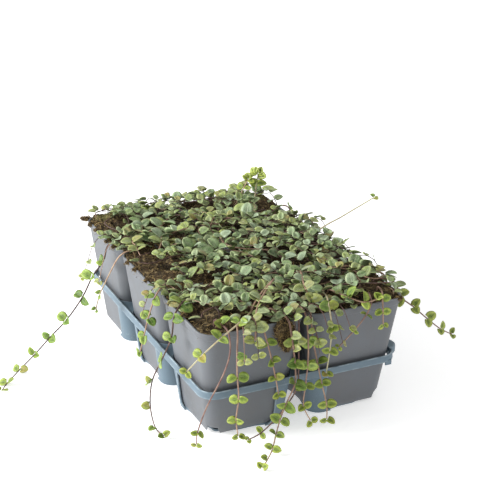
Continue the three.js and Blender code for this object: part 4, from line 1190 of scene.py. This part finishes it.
# Each has a name, the side it looks to, the size of its leaves, the first point with leaves, and its points
RUNNERS = [
    ("runner_left_long", LEFT, 10, 4,
     [(-82, 63), (-89, 62, 103), (-97, 62, 98), (-101, 62, 85), (-112, 61, 72), (-123, 58, 55),
      (-140, 53, 38), (-157, 49, 26), (-173, 45, 14), (-189, 39, 5), (-204, 26, 1.6), (-212, 15, 1.5)]),
    ("runner_left_back", LEFT, 8, 5,
     [(-82, 34), (-89, 33, 103), (-97, 35, 97), (-102, 46, 77), (-109, 51, 58), (-113, 52, 43)]),
    ("runner_left_middle", LEFT, 9.5, 3,
     [(-80, -40), (-88, -48, 103.5), (-97, -53, 97), (-101, -47, 76), (-103, -42, 58), (-104, -35, 40)]),
    ("runner_left_front", LEFT, 9.5, 2,
     [(-79, -80), (-88, -87, 104), (-97.5, -94, 97), (-101, -97, 81), (-105, -87, 58), (-110, -77, 34),
      (-114, -82, 15), (-116, -97, 3), (-114, -111, 1.6)]),
    ("runner_corner", FRONT, 9.5, 3,
     [(-38, -112), (-46, -127, 106), (-62, -140, 105.5), (-82, -147.5, 99), (-98, -149.5, 89),
      (-110, -149, 78)]),
    ("runner_front_slanting", FRONT, 8, 7,
     [(-75, -122), (-74, -132, 103), (-73, -143, 101), (-73, -147, 86), (-79, -148, 68), (-93, -149, 44),
      (-101, -149, 23), (-101, -147, 11)]),
    ("runner_front_left", FRONT, 9.5, 4,
     [(-60, -122), (-62, -132, 103), (-65, -143, 100.5), (-67, -147, 83), (-67, -148, 64),
      (-66, -149, 45), (-68, -149, 26), (-66, -149, 11)]),
    ("runner_front_second", FRONT, 9, 4,
     [(-47, -123), (-46, -133, 102), (-44, -143, 100.5), (-41, -147, 87), (-37, -148, 71),
      (-34, -149, 56), (-31, -149, 41)]),
    ("runner_front_brown", FRONT, 7, 8,
     [(-14, -121), (-13, -132, 103), (-12, -143, 100.5), (-13, -146.5, 80), (-13, -148, 60),
      (-15, -149, 41), (-29, -149, 22), (-45, -149, 9), (-57, -149, 5)]),
    ("runner_front_long", FRONT, 9.5, 4,
     [(-27, -121), (-25, -133, 104), (-21, -143, 101), (-19, -147, 84), (-18, -150.5, 67),
      (-19, -154, 50), (-27, -155, 34), (-33, -157, 22), (-38, -160, 11), (-45, -168, 4),
      (-53, -176, 1.6), (-62, -185, 1.5)]),
    ("runner_front_cluster", FRONT, 9, 4,
     [(-8, -116), (-7, -131, 106.5), (-6, -143.5, 103), (-6, -149.5, 84), (-7, -152, 64), (-9, -153, 45),
      (-10, -153, 27), (-3, -153, 12)]),
    ("runner_front_middle", FRONT, 10, 4,
     [(9, -122), (3, -133, 105), (-1, -143, 101.5), (0, -147, 80), (4, -148, 61), (8, -149, 42),
      (13, -150, 22), (14, -150, 8)]),
    ("runner_front_pale", FRONT, 9, 3,
     [(25, -112), (22, -126, 107), (15, -143, 107), (16, -147.5, 90), (15, -148, 70), (12, -149, 50)]),
    ("runner_front_dry", FRONT, 6, 4,
     [(62, -125), (58, -135, 104), (54, -144, 102), (48, -147, 94), (37, -148, 83), (23, -148.5, 71)]),
    ("runner_rim", OPEN, 10, 3,
     [(33, -110), (34, -123, 106), (37, -136, 107), (47, -145, 104.5), (58, -146.5, 106)]),
    ("runner_droop", FRONT, 8, 3,
     [(74, -120), (71, -132, 104.5), (65, -143, 104.5), (63, -148, 95), (64, -148, 83)]),
    ("runner_right_long", FRONT, 9.5, 4,
     [(78, -106), (87, -111, 104.5), (97, -113.5, 98.5), (102, -113, 86), (117, -112, 73),
      (132, -112, 59), (147, -112, 46), (160, -112, 38)]),
    ("runner_right_whip", TILTED, 9, 7,
     [(78, 4), (88, 6, 105), (99, 9, 108), (116, 15, 110), (134, 20, 114), (148, 21, 119),
      (155, 21, 122)]),
    ("runner_right_back", RIGHT, 9.5, 3,
     [(79, 76), (88, 79, 104), (97.5, 81, 98), (101, 85, 80), (103, 91, 62), (105, 97, 44),
      (107, 99, 27)]),
    ("runner_back_left", BACK, 9, 3,
     [(-45, 124), (-46, 134, 104), (-49, 144, 99), (-52, 148, 82), (-53, 150, 64)]),
    ("runner_back_right", BACK, 9.5, 3,
     [(28, 124), (28, 134, 104), (30, 144.5, 99), (33, 149, 81), (38, 151, 63), (43, 153, 45),
      (47, 156, 27), (55, 161, 9), (67, 168, 1.8)]),
    ("sprig_top", TILTED, 10.5, 4,
     [(62, 84), (64, 91, 105), (68, 98, 111), (71, 101, 121), (73, 102, 131)]),
    ("sprig_low", TILTED, 9.5, 4,
     [(42, 92), (47, 96, 106), (53, 100, 112), (57, 100, 120), (62, 101, 127)]),
]


# %% Laying the runners and starting the mat
SPRAY_LAYERS, MAT_NODES, ROOTED_OUT = [4, 8, 6, 11], 8, 27


def lay_runners(grown):
    stems = []
    for number, (name, look, leaf, first, route) in enumerate(RUNNERS):
        stem = new_stem(name, number, look=look, leaf=leaf, first=first, creeps=False)
        plant_root(stem, *route[0], 3, grown)
        for place in route[1:]:
            new_point(stem, place)
            lay_rod(stem, -1, grown)
        stems.append(stem)
    for stem in stems:
        draw, last = seeded(500 + 31 * stem["number"]), len(stem["points"]) - 1
        for i in range(stem["first"], last + 1):
            leaf_pair(stem, i, stem["leaf"] * (1 - 0.35 * (i / last) ** 3), draw, grown)
    return stems


def start_mat(grown, first_number):
    """Four stems in each pot, one in each quarter of its soil."""
    stems = []
    for quarter in range(4):
        for i, (x, y) in enumerate(CELLS):
            seed = 43000 + 97 * quarter + 13 * i
            draw = seeded(seed)
            angle = 2 * math.pi * (quarter + 0.5) / 4
            reach = ROOTED_OUT + spread(draw, 10)
            stem = new_stem("spray_%s_%d" % (CELL_NAMES[i], quarter + 1), first_number + len(stems), leaf=12,
                            layer=SPRAY_LAYERS[(quarter + i) % 4], heading=2 * math.pi * draw(),
                            draw=seeded(seed))
            plant_root(stem, x + reach * math.cos(angle), y + reach * math.sin(angle), 4, grown)
            stems.append(stem)
    return stems


# %% The stems that the CAD model has
grown = Grown()
runners = lay_runners(grown)
mat = start_mat(grown, len(runners))
for _ in range(MAT_NODES + 1):
    for stem in mat:
        grow_stem(stem, grown, MAT_NODES)


def off_centre(stem):
    """How far the middle of a stem lies from that of its CAD node."""
    places = np.concatenate([np.array(stem["points"])] + [leaf["disc"] for leaf in stem["leaves"]])
    cad_low, cad_high = (np.array(corner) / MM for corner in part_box(stem["name"]))
    return float(np.abs((places.min(0) + places.max(0)) / 2 - (cad_low + cad_high) / 2).max())


print("stems:", len(runners), "runners and", len(mat), "in the mat;", grown.leaves, "leaves;",
      "centres agree with the CAD to", round(max(off_centre(stem) for stem in runners + mat), 2), "mm")

# %% Young leaves that crowd the tips of the sprigs, and two pairs where a front runner leaves the mat
# Side, lean ahead and size of each young leaf
FANS = {"sprig_top": [(-1, 0.2, 9.0), (1, 1.1, 8.0), (-1, 1.2, 7.5), (1, 0.1, 9.0)],
        "sprig_low": [(-1, 1.0, 7.5), (1, 1.2, 6.5)]}
YOUNGEST, FAN_LIGHT = 2.0, unit(np.array([-0.8, -0.6, 0.7]))
by_name = {stem["name"]: stem for stem in runners}
for name, fan in FANS.items():
    stem = by_name[name]
    tip = len(stem["points"]) - 1
    toward = direction_at(stem["points"], tip)
    for side, lean, size in fan:
        leaf = make_leaf(stem, tip, toward, FAN_LIGHT, side, size, 0.15, lean)
        stem["leaves"].append({**leaf, "age": YOUNGEST})
draw = seeded(77)
for point in (2, 3):
    leaf_pair(by_name["runner_front_slanting"], point, 8.5, draw, grown)
print("leaves on the sprigs:", [len(by_name[name]["leaves"]) for name in FANS])

# %% Finer stems between them
FINE_PER_POT, FINE_NODES, PLACES_TRIED, ROOTED_WITHIN = 30, 7, 12, 80
fine = []
for turn_number in range(FINE_PER_POT):
    for i, (x, y) in enumerate(CELLS):
        draw = seeded(9000 + 61 * turn_number + 7 * i)
        for _ in range(PLACES_TRIED):
            px, py = x + spread(draw, ROOTED_WITHIN), y + spread(draw, ROOTED_WITHIN)
            if not covers_soil(np.array((px, py, VIEW_LEVEL))):
                break
        stem = new_stem("fine", 100 + len(fine), leaf=7.2 + 3.6 * draw(), layer=2 + 11 * draw(),
                        heading=2 * math.pi * draw(), draw=seeded(4000 + 17 * len(fine)), leaf_gap=0.5,
                        stem_gap=1.0, shy=True)
        plant_root(stem, px, py, 3, grown)
        fine.append(stem)
for _ in range(FINE_NODES + 1):
    for stem in fine:
        grow_stem(stem, grown, FINE_NODES - 1)
print("fine stems:", len(fine), " leaves in all:", grown.leaves)

# %% Short shoots that lean out over the rims
# Each is given by where it leaves the mat, which way it leans, and how far it droops
SHOOTS = [(-24, -126, -0.2, -1, 5), (-14, -124, -0.2, -1, 3), (-6, -126, 0.3, -1, 9), (4, -124, 0, -1, 4),
          (12, -126, 0.2, -1, 7), (22, -125, 0.3, -1, 2), (-84, 58, -1, -0.25, 9), (-84, 67, -1, 0, 12),
          (-84, -46, -1, -0.6, 4), (80, -60, 1, -0.2, 6), (82, 30, 1, 0, 5), (-20, 126, 0, 1, 6),
          (-42, 124, 0.2, 1, 6), (-56, -128, -0.3, -1, 6), (-46, -126, -0.1, -1, 5), (-12, -127, 0.1, -1, 5)]
SHOOT_RISES, SHOOT_KEPT = (7.5, 8.5, 7.0, 3.0, -2.0), 0.66
shoots = []
for number, (x, y, lean_x, lean_y, droop) in enumerate(SHOOTS):
    draw = seeded(700 + 37 * number)
    out = unit(np.array([lean_x + spread(draw, 0.5), lean_y + spread(draw, 0.5)]))
    stem = new_stem("shoot", 900 + number, look=(lean_x + spread(draw, 1.6), lean_y * 0.7, 0),
                    leaf=7.4 + 2.6 * draw(), creeps=False, leaf_gap=0.4)
    plant_root(stem, x, y, 3, grown)
    for step, rise in enumerate(SHOOT_RISES):
        far = 8.0 * (step + 1) - (3.0 if step > 2 else 0) * (step - 2)
        height = RIM + rise - droop * max(0, step - 1) ** 1.3 * 0.55
        new_point(stem, (x + out[0] * far, y + out[1] * far, height))
        lay_rod(stem, -1, grown)
    for i in range(2, len(stem["points"])):
        leaf_pair(stem, i, stem["leaf"] * (1 - 0.05 * i), draw, grown)
    stem["leaves"] = [leaf for leaf in stem["leaves"] if draw() < SHOOT_KEPT]
    shoots.append(stem)

# %% Long stems that lie on top of the mat and run out over the front rim
# Each has the size of its leaves and its points
LAID = [
    (8.0, [(-6, -95, 115), (-17, -105, 118), (-27, -114, 117.5), (-38, -122, 114), (-46, -127, 107)]),
    (9.5, [(-2, -92, 115), (-15, -104, 118.5), (-26, -116, 118), (-37, -126, 115), (-45, -135, 110),
           (-50, -144, 102), (-52, -148, 92)]),
    (9.0, [(17, -86, 114), (14, -97, 118), (9, -109, 117.5), (6, -120, 114), (5, -131, 109)])]
LAID_KEPT = 0.75
laid = []
for number, (leaf, places) in enumerate(LAID):
    draw = seeded(1200 + 41 * number)
    stem = new_stem("laid", 7003 + 7 * number, look=FRONT, creeps=False, leaf_gap=0.4)
    for place in places:
        new_point(stem, place)
    for i in range(1, len(places)):
        lay_rod(stem, i, grown)
        leaf_pair(stem, i, leaf, draw, grown)
    stem["leaves"] = [leaf for leaf in stem["leaves"] if draw() < LAID_KEPT]
    laid.append(stem)
print("shoots:", len(shoots), " laid stems:", len(laid), " leaves in all:", grown.leaves)

# %% [markdown]
# ## Leaves
#
# A leaf is a thin round blade on a short stalk, folded a little along its midrib, with its rim
# curling down. More than a thousand are needed, so each has only a few dozen faces and its veins
# are left to the shader. Three shapes are modelled: a round one, a broader heart shape and a younger
# folded one. A point cloud then says for each leaf where it sits, how it is turned and how large it
# is, and a Geometry Nodes tree puts the shapes there.

# %% One leaf shape
# Rows along a leaf: two round the stalk, the rest over the blade. Places round a row: share of the half
# width, and 1 above the blade or -1 below it
ROWS_ALONG = [0.0, 0.11, 0.18, 0.36, 0.58, 0.8, 0.94, 1.0]
AROUND = [(-1, 0), (-0.5, 1), (0, 1), (0.5, 1), (1, 0), (0.5, -1), (0, -1), (-0.5, -1)]
STALK_END, STALK_ROWS, MIDRIB_DIP = 0.11, 2, 0.010


def leaf_points(width, fold, curl, droop, lobes, point):
    """Points of a leaf that is 1 long, with the place of each on the UV map and on the upper or lower side."""
    points, places = [], []
    for row, along in enumerate(ROWS_ALONG):
        stalk = row < STALK_ROWS
        blade = max(0.0, (along - STALK_END) / (1 - STALK_END))
        half = 0.017 if stalk else width * max(0.02, 1 - (2 * blade ** point - 1) ** 2) ** 0.5
        for share, up in AROUND:
            back = 0 if stalk else lobes * (1 - blade) ** 5 * abs(share)
            cup = 0 if stalk else fold * abs(share) * half - curl * abs(share) ** 3 * half
            dip = MIDRIB_DIP if up == 1 and share == 0 and not stalk else 0
            z = cup - droop * blade ** 2 + up * (0.014 if stalk else 0.012) - dip
            points.append((1.04 * along - back, share * half, z))
            places.append((along, 0.5 + 0.5 * share, 1.0 if up >= 0 else 0.0))
    return points, places


def leaf_shape(name, *form):
    points, places = leaf_points(*form)
    count = len(AROUND)
    faces = [tuple(range(count))[::-1], tuple(range(len(points) - count, len(points)))]
    for a in range(0, len(points) - count, count):
        faces += [(a + i, a + (i + 1) % count, a + count + (i + 1) % count, a + count + i)
                  for i in range(count)]
    shape = bmesh.new()
    uv, upper = shape.loops.layers.uv.new("UVMap"), shape.verts.layers.float.new("upper")
    corners = [shape.verts.new(p) for p in points]
    shape.verts.index_update()
    for corner, place in zip(corners, places):
        corner[upper] = place[2]
    for face in faces:
        made = shape.faces.new([corners[i] for i in face])
        made.smooth = True
        for loop in made.loops:
            loop[uv].uv = places[loop.vert.index][:2]
    bmesh.ops.recalc_face_normals(shape, faces=shape.faces)
    mesh = bpy.data.meshes.new(name)
    shape.to_mesh(mesh)
    shape.free()
    return bpy.data.objects.new(name, mesh)


# Width, fold, curl of the rim, droop of the tip, lobes at the stalk, and where the blade is widest
leaf_set = bpy.data.collections.new("leaf_shapes")
for form in [("leaf_a_round", 0.47, 0.40, 0.03, 0.12, 0.12, 0.82),
             ("leaf_b_heart", 0.50, 0.26, 0.05, 0.18, 0.22, 0.66),
             ("leaf_c_folded", 0.45, 0.62, 0.03, 0.05, 0.16, 0.74)]:
    leaf_set.objects.link(leaf_shape(*form))

# %% The tree that places leaves on a point cloud
given = start_group("place_leaves", "Geometry", {
    "Geometry": "Geometry", "Shapes": "Collection", "Leaf Scale": 1.0, "Roll": 0.4, "Seed": 5,
    "Finish": "Material"})
grown_turn = node("FunctionNodeEulerToRotation", {0: stored("turn", "FLOAT_VECTOR")})[0]
luck = chance("FLOAT_VECTOR", (-1.0, -0.5, -0.3), (1.0, 0.7, 0.3), plus(given["Seed"], 2.0))
rolled = node("ShaderNodeVectorMath", {0: luck, "Scale": given["Roll"]}, operation="SCALE")[0]
hand_out(Geometry=shapes_on(given["Geometry"], 3, given["Seed"], turned(grown_turn, rolled),
                            times(stored("size"), given["Leaf Scale"]), plus(given["Seed"], 1.0)))

# %% Where a runner lies on the floor, its leaves prop themselves up
LYING, KEPT_OFF_FLOOR, FRONT_LIGHT = 12, 0.2, np.array([-0.4, -0.9, 0.5])


def propped(leaf):
    """Turns a low leaf about its stalk towards the light in front, as far as the floor allows."""
    axis = leaf["axis"]
    stood = unit(FRONT_LIGHT - axis * (FRONT_LIGHT @ axis))
    for share in (1.0, 0.8, 0.6, 0.4, 0.2):
        face = unit(leaf["face"] * (1 - share) + stood * share)
        face = unit(face - axis * (face @ axis))
        across = cross(face, axis)
        if leaf["centre"][2] - leaf["radius"] * math.hypot(across[2], axis[2]) > KEPT_OFF_FLOOR:
            return {**leaf, "face": face, "across": across}
    return leaf


# Ages at the root and at the tip: below 0 darker green, which is painted shade, near 1 yellow, above it pale
AGES_AND_SHADE = {"runner_right_whip": (0.0, 0.0), "runner_right_long": (1.1, 1.8), "runner_left_front": (-0.5, 0.6),
        "runner_left_middle": (-0.4, 0.3), "runner_left_long": (-0.4, 0.85), "runner_left_back": (-0.4, 0.4)}
for stem in runners:
    stem["leaves"] = [propped(leaf) if leaf["centre"][2] < LYING else leaf for leaf in stem["leaves"]]
    at_root, at_tip = AGES_AND_SHADE.get(stem["name"], (0.0, 1.0))
    for leaf in stem["leaves"]:
        leaf["age"] = at_root + (at_tip - at_root) * leaf["age"]
print("runners with ages of their own:", len(AGES_AND_SHADE))

# %% [markdown]
# ## Finish of the leaves
#
# The leaves of the mat are grey-green with a pale midrib and faint side veins, and some have turned
# olive or brown. Their lighter rim is partly a pale margin and partly a painted highlight, and their
# darker middle is painted shade of the fold. Those that hang in the light are lime green, also with a
# middle painted dark as shade, and the youngest are yellow or reddish. The runners at the left are
# painted darker as shade. The pattern follows each leaf's own UV map, so one group draws midrib, side
# veins and rim, and each finish mixes its own colours with those masks.

# %% Leaf pattern
given = start_group("leaf_pattern", "Shader", {"UV": "Vector", "Place": "Vector"})
flat = node("ShaderNodeSeparateXYZ", {0: given["UV"]})
along, aside = flat[0], sums("ABSOLUTE", minus(flat[1], 0.5))
midrib = stretched(plus(aside, times(along, 0.025)), 0.062, 0.018)
wave = sums("SINE", times(minus(along, times(aside, 0.7)), 44.0))
veins = times(stretched(wave, 0.72, 1.0), stretched(aside, 0.46, 0.1))
from_middle = plus(times(aside, 1.9), sums("ABSOLUTE", minus(along, 0.42)))
hand_out(Midrib=midrib, Veins=veins, Middle=stretched(from_middle, 0.75, 0.2),
         Rim=sums("MAXIMUM", stretched(aside, 0.34, 0.5), stretched(along, 0.88, 1.0)),
         Blotch=stretched(cloud(given["Place"], 330.0, 3.0), 0.4, 0.72),
         Mottle=stretched(cloud(given["Place"], 1100.0, 2.0, 0.7), 0.36, 0.66),
         Height=minus(cloud(given["Place"], 900.0, 2.0), plus(midrib, times(veins, 0.6))))


# %% Two leaf finishes
def leaf_finish(name, tones, dark, rib, rim, young, old, underside, old_share, centre_share):
    """Five tones differ from leaf to leaf. Age, mottling and veins change the colour within each; a darker
    middle is painted shade of the fold, ages below 0 paint shade, and the pale rim is partly a margin and
    partly a painted highlight.
    """
    material, surface, place = new_material(name, Specular_IOR_Level=0.36)
    marks = placed("leaf_pattern", {"UV": node("ShaderNodeUVMap", uv_map="UVMap")[0], "Place": place})
    tint, age, upper = (attribute(label) for label in ("tint", "age", "upper"))
    shuffled = sums("FRACT", times(tint, 7.31))
    turned_old = times(stretched(shuffled, 1 - old_share, 1.0),
                       stretched(marks["Blotch"], 0.0, 0.7, 0.35, 0.95))
    colour = layered(
        ramp(tint, list(zip((0, 0.25, 0.5, 0.75, 1), tones))),
        # Ages below 0 paint shade, the darker middle is painted shade of the fold, and the pale rim is partly a
        # margin and partly a painted highlight
        (stretched(age, 0.45, 1.05), young), (stretched(age, 0.0, -1.0), dark),
        (stretched(age, 1.1, 2.0), rim),
        (times(marks["Middle"], centre_share), dark), (times(marks["Mottle"], 0.42), dark),
        (times(marks["Blotch"], 0.35), rib), (turned_old, old), (times(marks["Veins"], 0.3), rib),
        (times(marks["Rim"], 0.4), rim), (times(marks["Midrib"], 0.3), rib),
        (stretched(upper, 0.6, 0.2, 0.0, 0.75), underside))
    finish_with(surface, colour, stretched(marks["Blotch"], 0.0, 1.0, 0.36, 0.54),
                marks["Height"], 0.5, 0.0005)
    return material


mat_leaf_looks = leaf_finish(
    "mat_leaf_skin", [(66, 94, 50), (122, 152, 92), (160, 176, 84), (166, 188, 158), (140, 170, 108)],
    dark=(34, 56, 28), rib=(202, 212, 172), rim=(220, 226, 170), young=(176, 182, 84), old=(150, 124, 62),
    underside=(112, 126, 90), old_share=0.2, centre_share=0.5)
runner_leaf_looks = leaf_finish(
    "runner_leaf_skin", [(72, 110, 34), (102, 142, 48), (142, 168, 58), (156, 182, 88), (128, 160, 54)],
    dark=(44, 78, 18), rib=(176, 194, 106), rim=(202, 214, 118), young=(188, 198, 84), old=(160, 136, 72),
    underside=(136, 156, 92), old_share=0.1, centre_share=0.85)
print("leaf finishes:", mat_leaf_looks.name, runner_leaf_looks.name)


# %% Place the leaves
def placed_leaves(name, stems, seed, roll, finish):
    """Turns leaves into a cloud of points that keep a turn, a size and an age, which on some runners stands for
    painted shade, and puts shapes there.
    """
    leaves = [leaf for stem in stems for leaf in stem["leaves"]]
    turns = [Matrix((leaf["axis"], leaf["across"], leaf["face"])).transposed().to_euler() for leaf in leaves]
    spots = mesh_object("leaf_points", [leaf["from"] for leaf in leaves], [])
    turn = spots.data.attributes.new("turn", "FLOAT_VECTOR", "POINT")
    turn.data.foreach_set("vector", np.array(turns, np.float32).ravel())
    keep_numbers(spots, size=[leaf["size"] * MM for leaf in leaves], age=[leaf["age"] for leaf in leaves])
    made = grown_mesh(name, spots, "place_leaves", Shapes=leaf_set, Seed=seed, Roll=roll, Finish=finish)
    drop(spots)
    return made


mat_leaves = placed_leaves("mat_leaves", mat + fine + shoots + laid, 5, 0.45, mat_leaf_looks)
runner_leaves = placed_leaves("runner_leaves", runners, 8, 0.75, runner_leaf_looks)
print("mat leaves:", triangles(mat_leaves), " runner leaves:", triangles(runner_leaves), "triangles")

# %% [markdown]
# ## Stems
#
# A stem is a thin round tube that bends smoothly through its nodes and thins towards its tip. A
# curve object for each would do, but one tree can treat them all: the carrier is a mesh of edges, the
# tree turns its chains into curves, rounds their corners and sweeps a small circle along them. Each
# point keeps its thickness and a tone, from pale to dark purple, for the shader to read.

# %% The tree that sweeps stems
given = start_group("sweep_stems", "Geometry", {
    "Geometry": "Geometry", "Sides": 6, "Steps": 4, "Finish": "Material"})
chains = node("GeometryNodeMeshToCurve", {"Mesh": given["Geometry"]})[0]
bent = node("GeometryNodeCurveSplineType", {"Curve": chains}, spline_type="CATMULL_ROM")[0]
stepped = node("GeometryNodeSetSplineResolution", {"Geometry": bent, "Resolution": given["Steps"]})[0]
circle = node("GeometryNodeCurvePrimitiveCircle", {"Resolution": given["Sides"], "Radius": 1.0})[0]
tubes = node("GeometryNodeCurveToMesh", {
    "Curve": stepped, "Profile Curve": circle, "Scale": stored("thick"), "Fill Caps": True})[0]
hand_out(Geometry=finished(node("GeometryNodeSetShadeSmooth", {"Geometry": tubes})[0]))

# %% Stem finish
stem_looks, surface, place = new_material("stem_bark", Specular_IOR_Level=0.4)
mottle = cloud(place, 240.0, 3.0)
drift = plus(attribute("tone"), stretched(mottle, 0.3, 0.7, -0.12, 0.12))
bark = ramp(drift, [(0, (196, 190, 152)), (0.3, (172, 142, 118)), (0.6, (124, 94, 86)), (0.82, (80, 60, 52)),
                    (1, (56, 44, 38))])
finish_with(surface, bark, stretched(mottle, 0.3, 0.7, 0.45, 0.65), mottle, 0.3, 0.0003)
print("stem finish:", stem_looks.name)

# %% Chains of edges with thickness and tone, and the swept stems
RUNNER_TONES = {
    "runner_corner": 0.12, "runner_front_pale": 0.05, "runner_front_dry": 0.55, "runner_front_brown": 0.75,
    "runner_left_long": 0.85, "runner_left_front": 0.8, "runner_left_back": 0.3, "runner_front_slanting": 0.6,
    "sprig_top": 0.12, "sprig_low": 0.3, "runner_right_whip": 0.05, "runner_right_long": 0.62}


def runner_tone(stem, share):
    return RUNNER_TONES.get(stem["name"], 0.45) - 0.3 * max(0, share - 0.6)


def mat_tone(stem, share):
    """One stem in seven is pale, the others are dark in different degrees."""
    return 0.4 if stem["number"] % 7 == 3 else 0.8 + 0.2 * ((stem["number"] * 0.618) % 1) - 0.15 * share


def swept_stems(name, stems, tone_of, thick, thin, sides):
    points, edges, widths, tones = [], [], [], []
    for stem in stems:
        first, last = len(points), len(stem["points"]) - 1
        points += stem["points"]
        edges += [(first + i, first + i + 1) for i in range(last)]
        widths += [(thick + (thin - thick) * i / last) * MM for i in range(last + 1)]
        tones += [tone_of(stem, i / last) for i in range(last + 1)]
    carrier = mesh_object("chains", points, [], edges)
    keep_numbers(carrier, thick=widths, tone=tones)
    made = grown_mesh(name, carrier, "sweep_stems", Sides=sides, Finish=stem_looks)
    drop(carrier)
    return made


mat_stems = joined("mat_stems", [
    swept_stems("thick_stems", mat, mat_tone, 0.7, 0.45, 6),
    swept_stems("laid_stems", laid, mat_tone, 0.9, 0.65, 6),
    swept_stems("fine_stems", fine + shoots, mat_tone, 0.45, 0.28, 5)])
runner_stems = swept_stems("runner_stems", runners, runner_tone, 0.85, 0.5, 8)
print("mat stems:", triangles(mat_stems), " runner stems:", triangles(runner_stems), "triangles")

# %% [markdown]
# ## Floor and light
#
# The plant was photographed on a white table in soft light, so its shadows are faint. A bright even
# sky gives the soft light from all sides. One large lamp high at the left makes the left faces of the
# pots lighter than the front ones, and the floor is a pale plate that runs past the picture's edges.

# %% Floor
floor_looks, surface, place = new_material(
    "floor_paper", Specular_IOR_Level=0.1, Emission_Color=(1, 1, 1, 1), Emission_Strength=0.46)
shade = stretched(cloud(place, 3.0, 2.0), 0.3, 0.7)
pale = mixed(shade, paint(247, 247, 247), paint(252, 252, 252))
finish_with(surface, pale, stretched(shade, 0.0, 1.0, 0.7, 0.8))

FLOOR_HALF, FLOOR_Z = 4000, -0.4
corners = [(x * FLOOR_HALF, y * FLOOR_HALF, FLOOR_Z) for x, y in ((-1, -1), (1, -1), (1, 1), (-1, 1))]
floor = mesh_object("floor", corners, [(0, 1, 2, 3)], finish=floor_looks, smooth=False)

# %% Sky and lamp
sky = bpy.data.worlds.new("studio")
bpy.context.scene.world = sky
sky.use_nodes = True
background = start_tree(sky.node_tree).nodes["Background"].inputs
background["Color"].default_value = (1, 1, 1, 1)
# The sky is seen pure white, and lights the plant a little less
seen = node("ShaderNodeLightPath")["Is Camera Ray"]
tree.links.new(stretched(seen, 0.0, 1.0, 0.65, 1.0), background["Strength"])

LAMP_AT, LAMP_AIM = Vector((-1.65, 0.4, 0.95)), Vector((0, 0, 0.06))
light = bpy.data.lights.new("key_lamp", "AREA")
light.shape, light.size, light.energy = "DISK", 0.9, 48
lamp = new_object("key_lamp", light)
lamp.location = LAMP_AT
lamp.rotation_euler = (LAMP_AIM - LAMP_AT).to_track_quat("-Z", "Y").to_euler()
bpy.context.scene.view_settings.view_transform = "Standard"
print("one lamp of", light.energy, "watts")

# %% [markdown]
# ## Joining the looks to the frame
#
# Every piece now rides on a body, and the CAD nodes that it stands for are hidden. Nothing here
# moves, so all pieces ride on the one body.

# %% Ride and replace
stem_names = [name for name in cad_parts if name.startswith("spray_")]
runner_names = [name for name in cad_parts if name.startswith(("runner_", "sprig_"))]
belongs = [(tray, "tray", ["tray"]), (mat_leaves, "mat_leaf", stem_names), (mat_stems, "mat_leaf", stem_names),
           (runner_leaves, "runner_leaf", runner_names), (runner_stems, "runner_leaf", runner_names),
           (crumbs, "soil", []), (fibres, "soil", []), (spilled, "soil", []), (clump, "soil", [])]
belongs += [(pot, "pot", ["pot_" + name]) for pot, name in zip(pots, CELL_NAMES)]
belongs += [(soil, "soil", ["soil_" + name]) for soil, name in zip(soils, CELL_NAMES)]
for piece, slot_name, nodes in belongs:
    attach(piece, "root")
    if nodes:
        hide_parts(*nodes)
print("pieces:", len(belongs), " triangles:", sum(triangles(piece) for piece, _, _ in belongs))
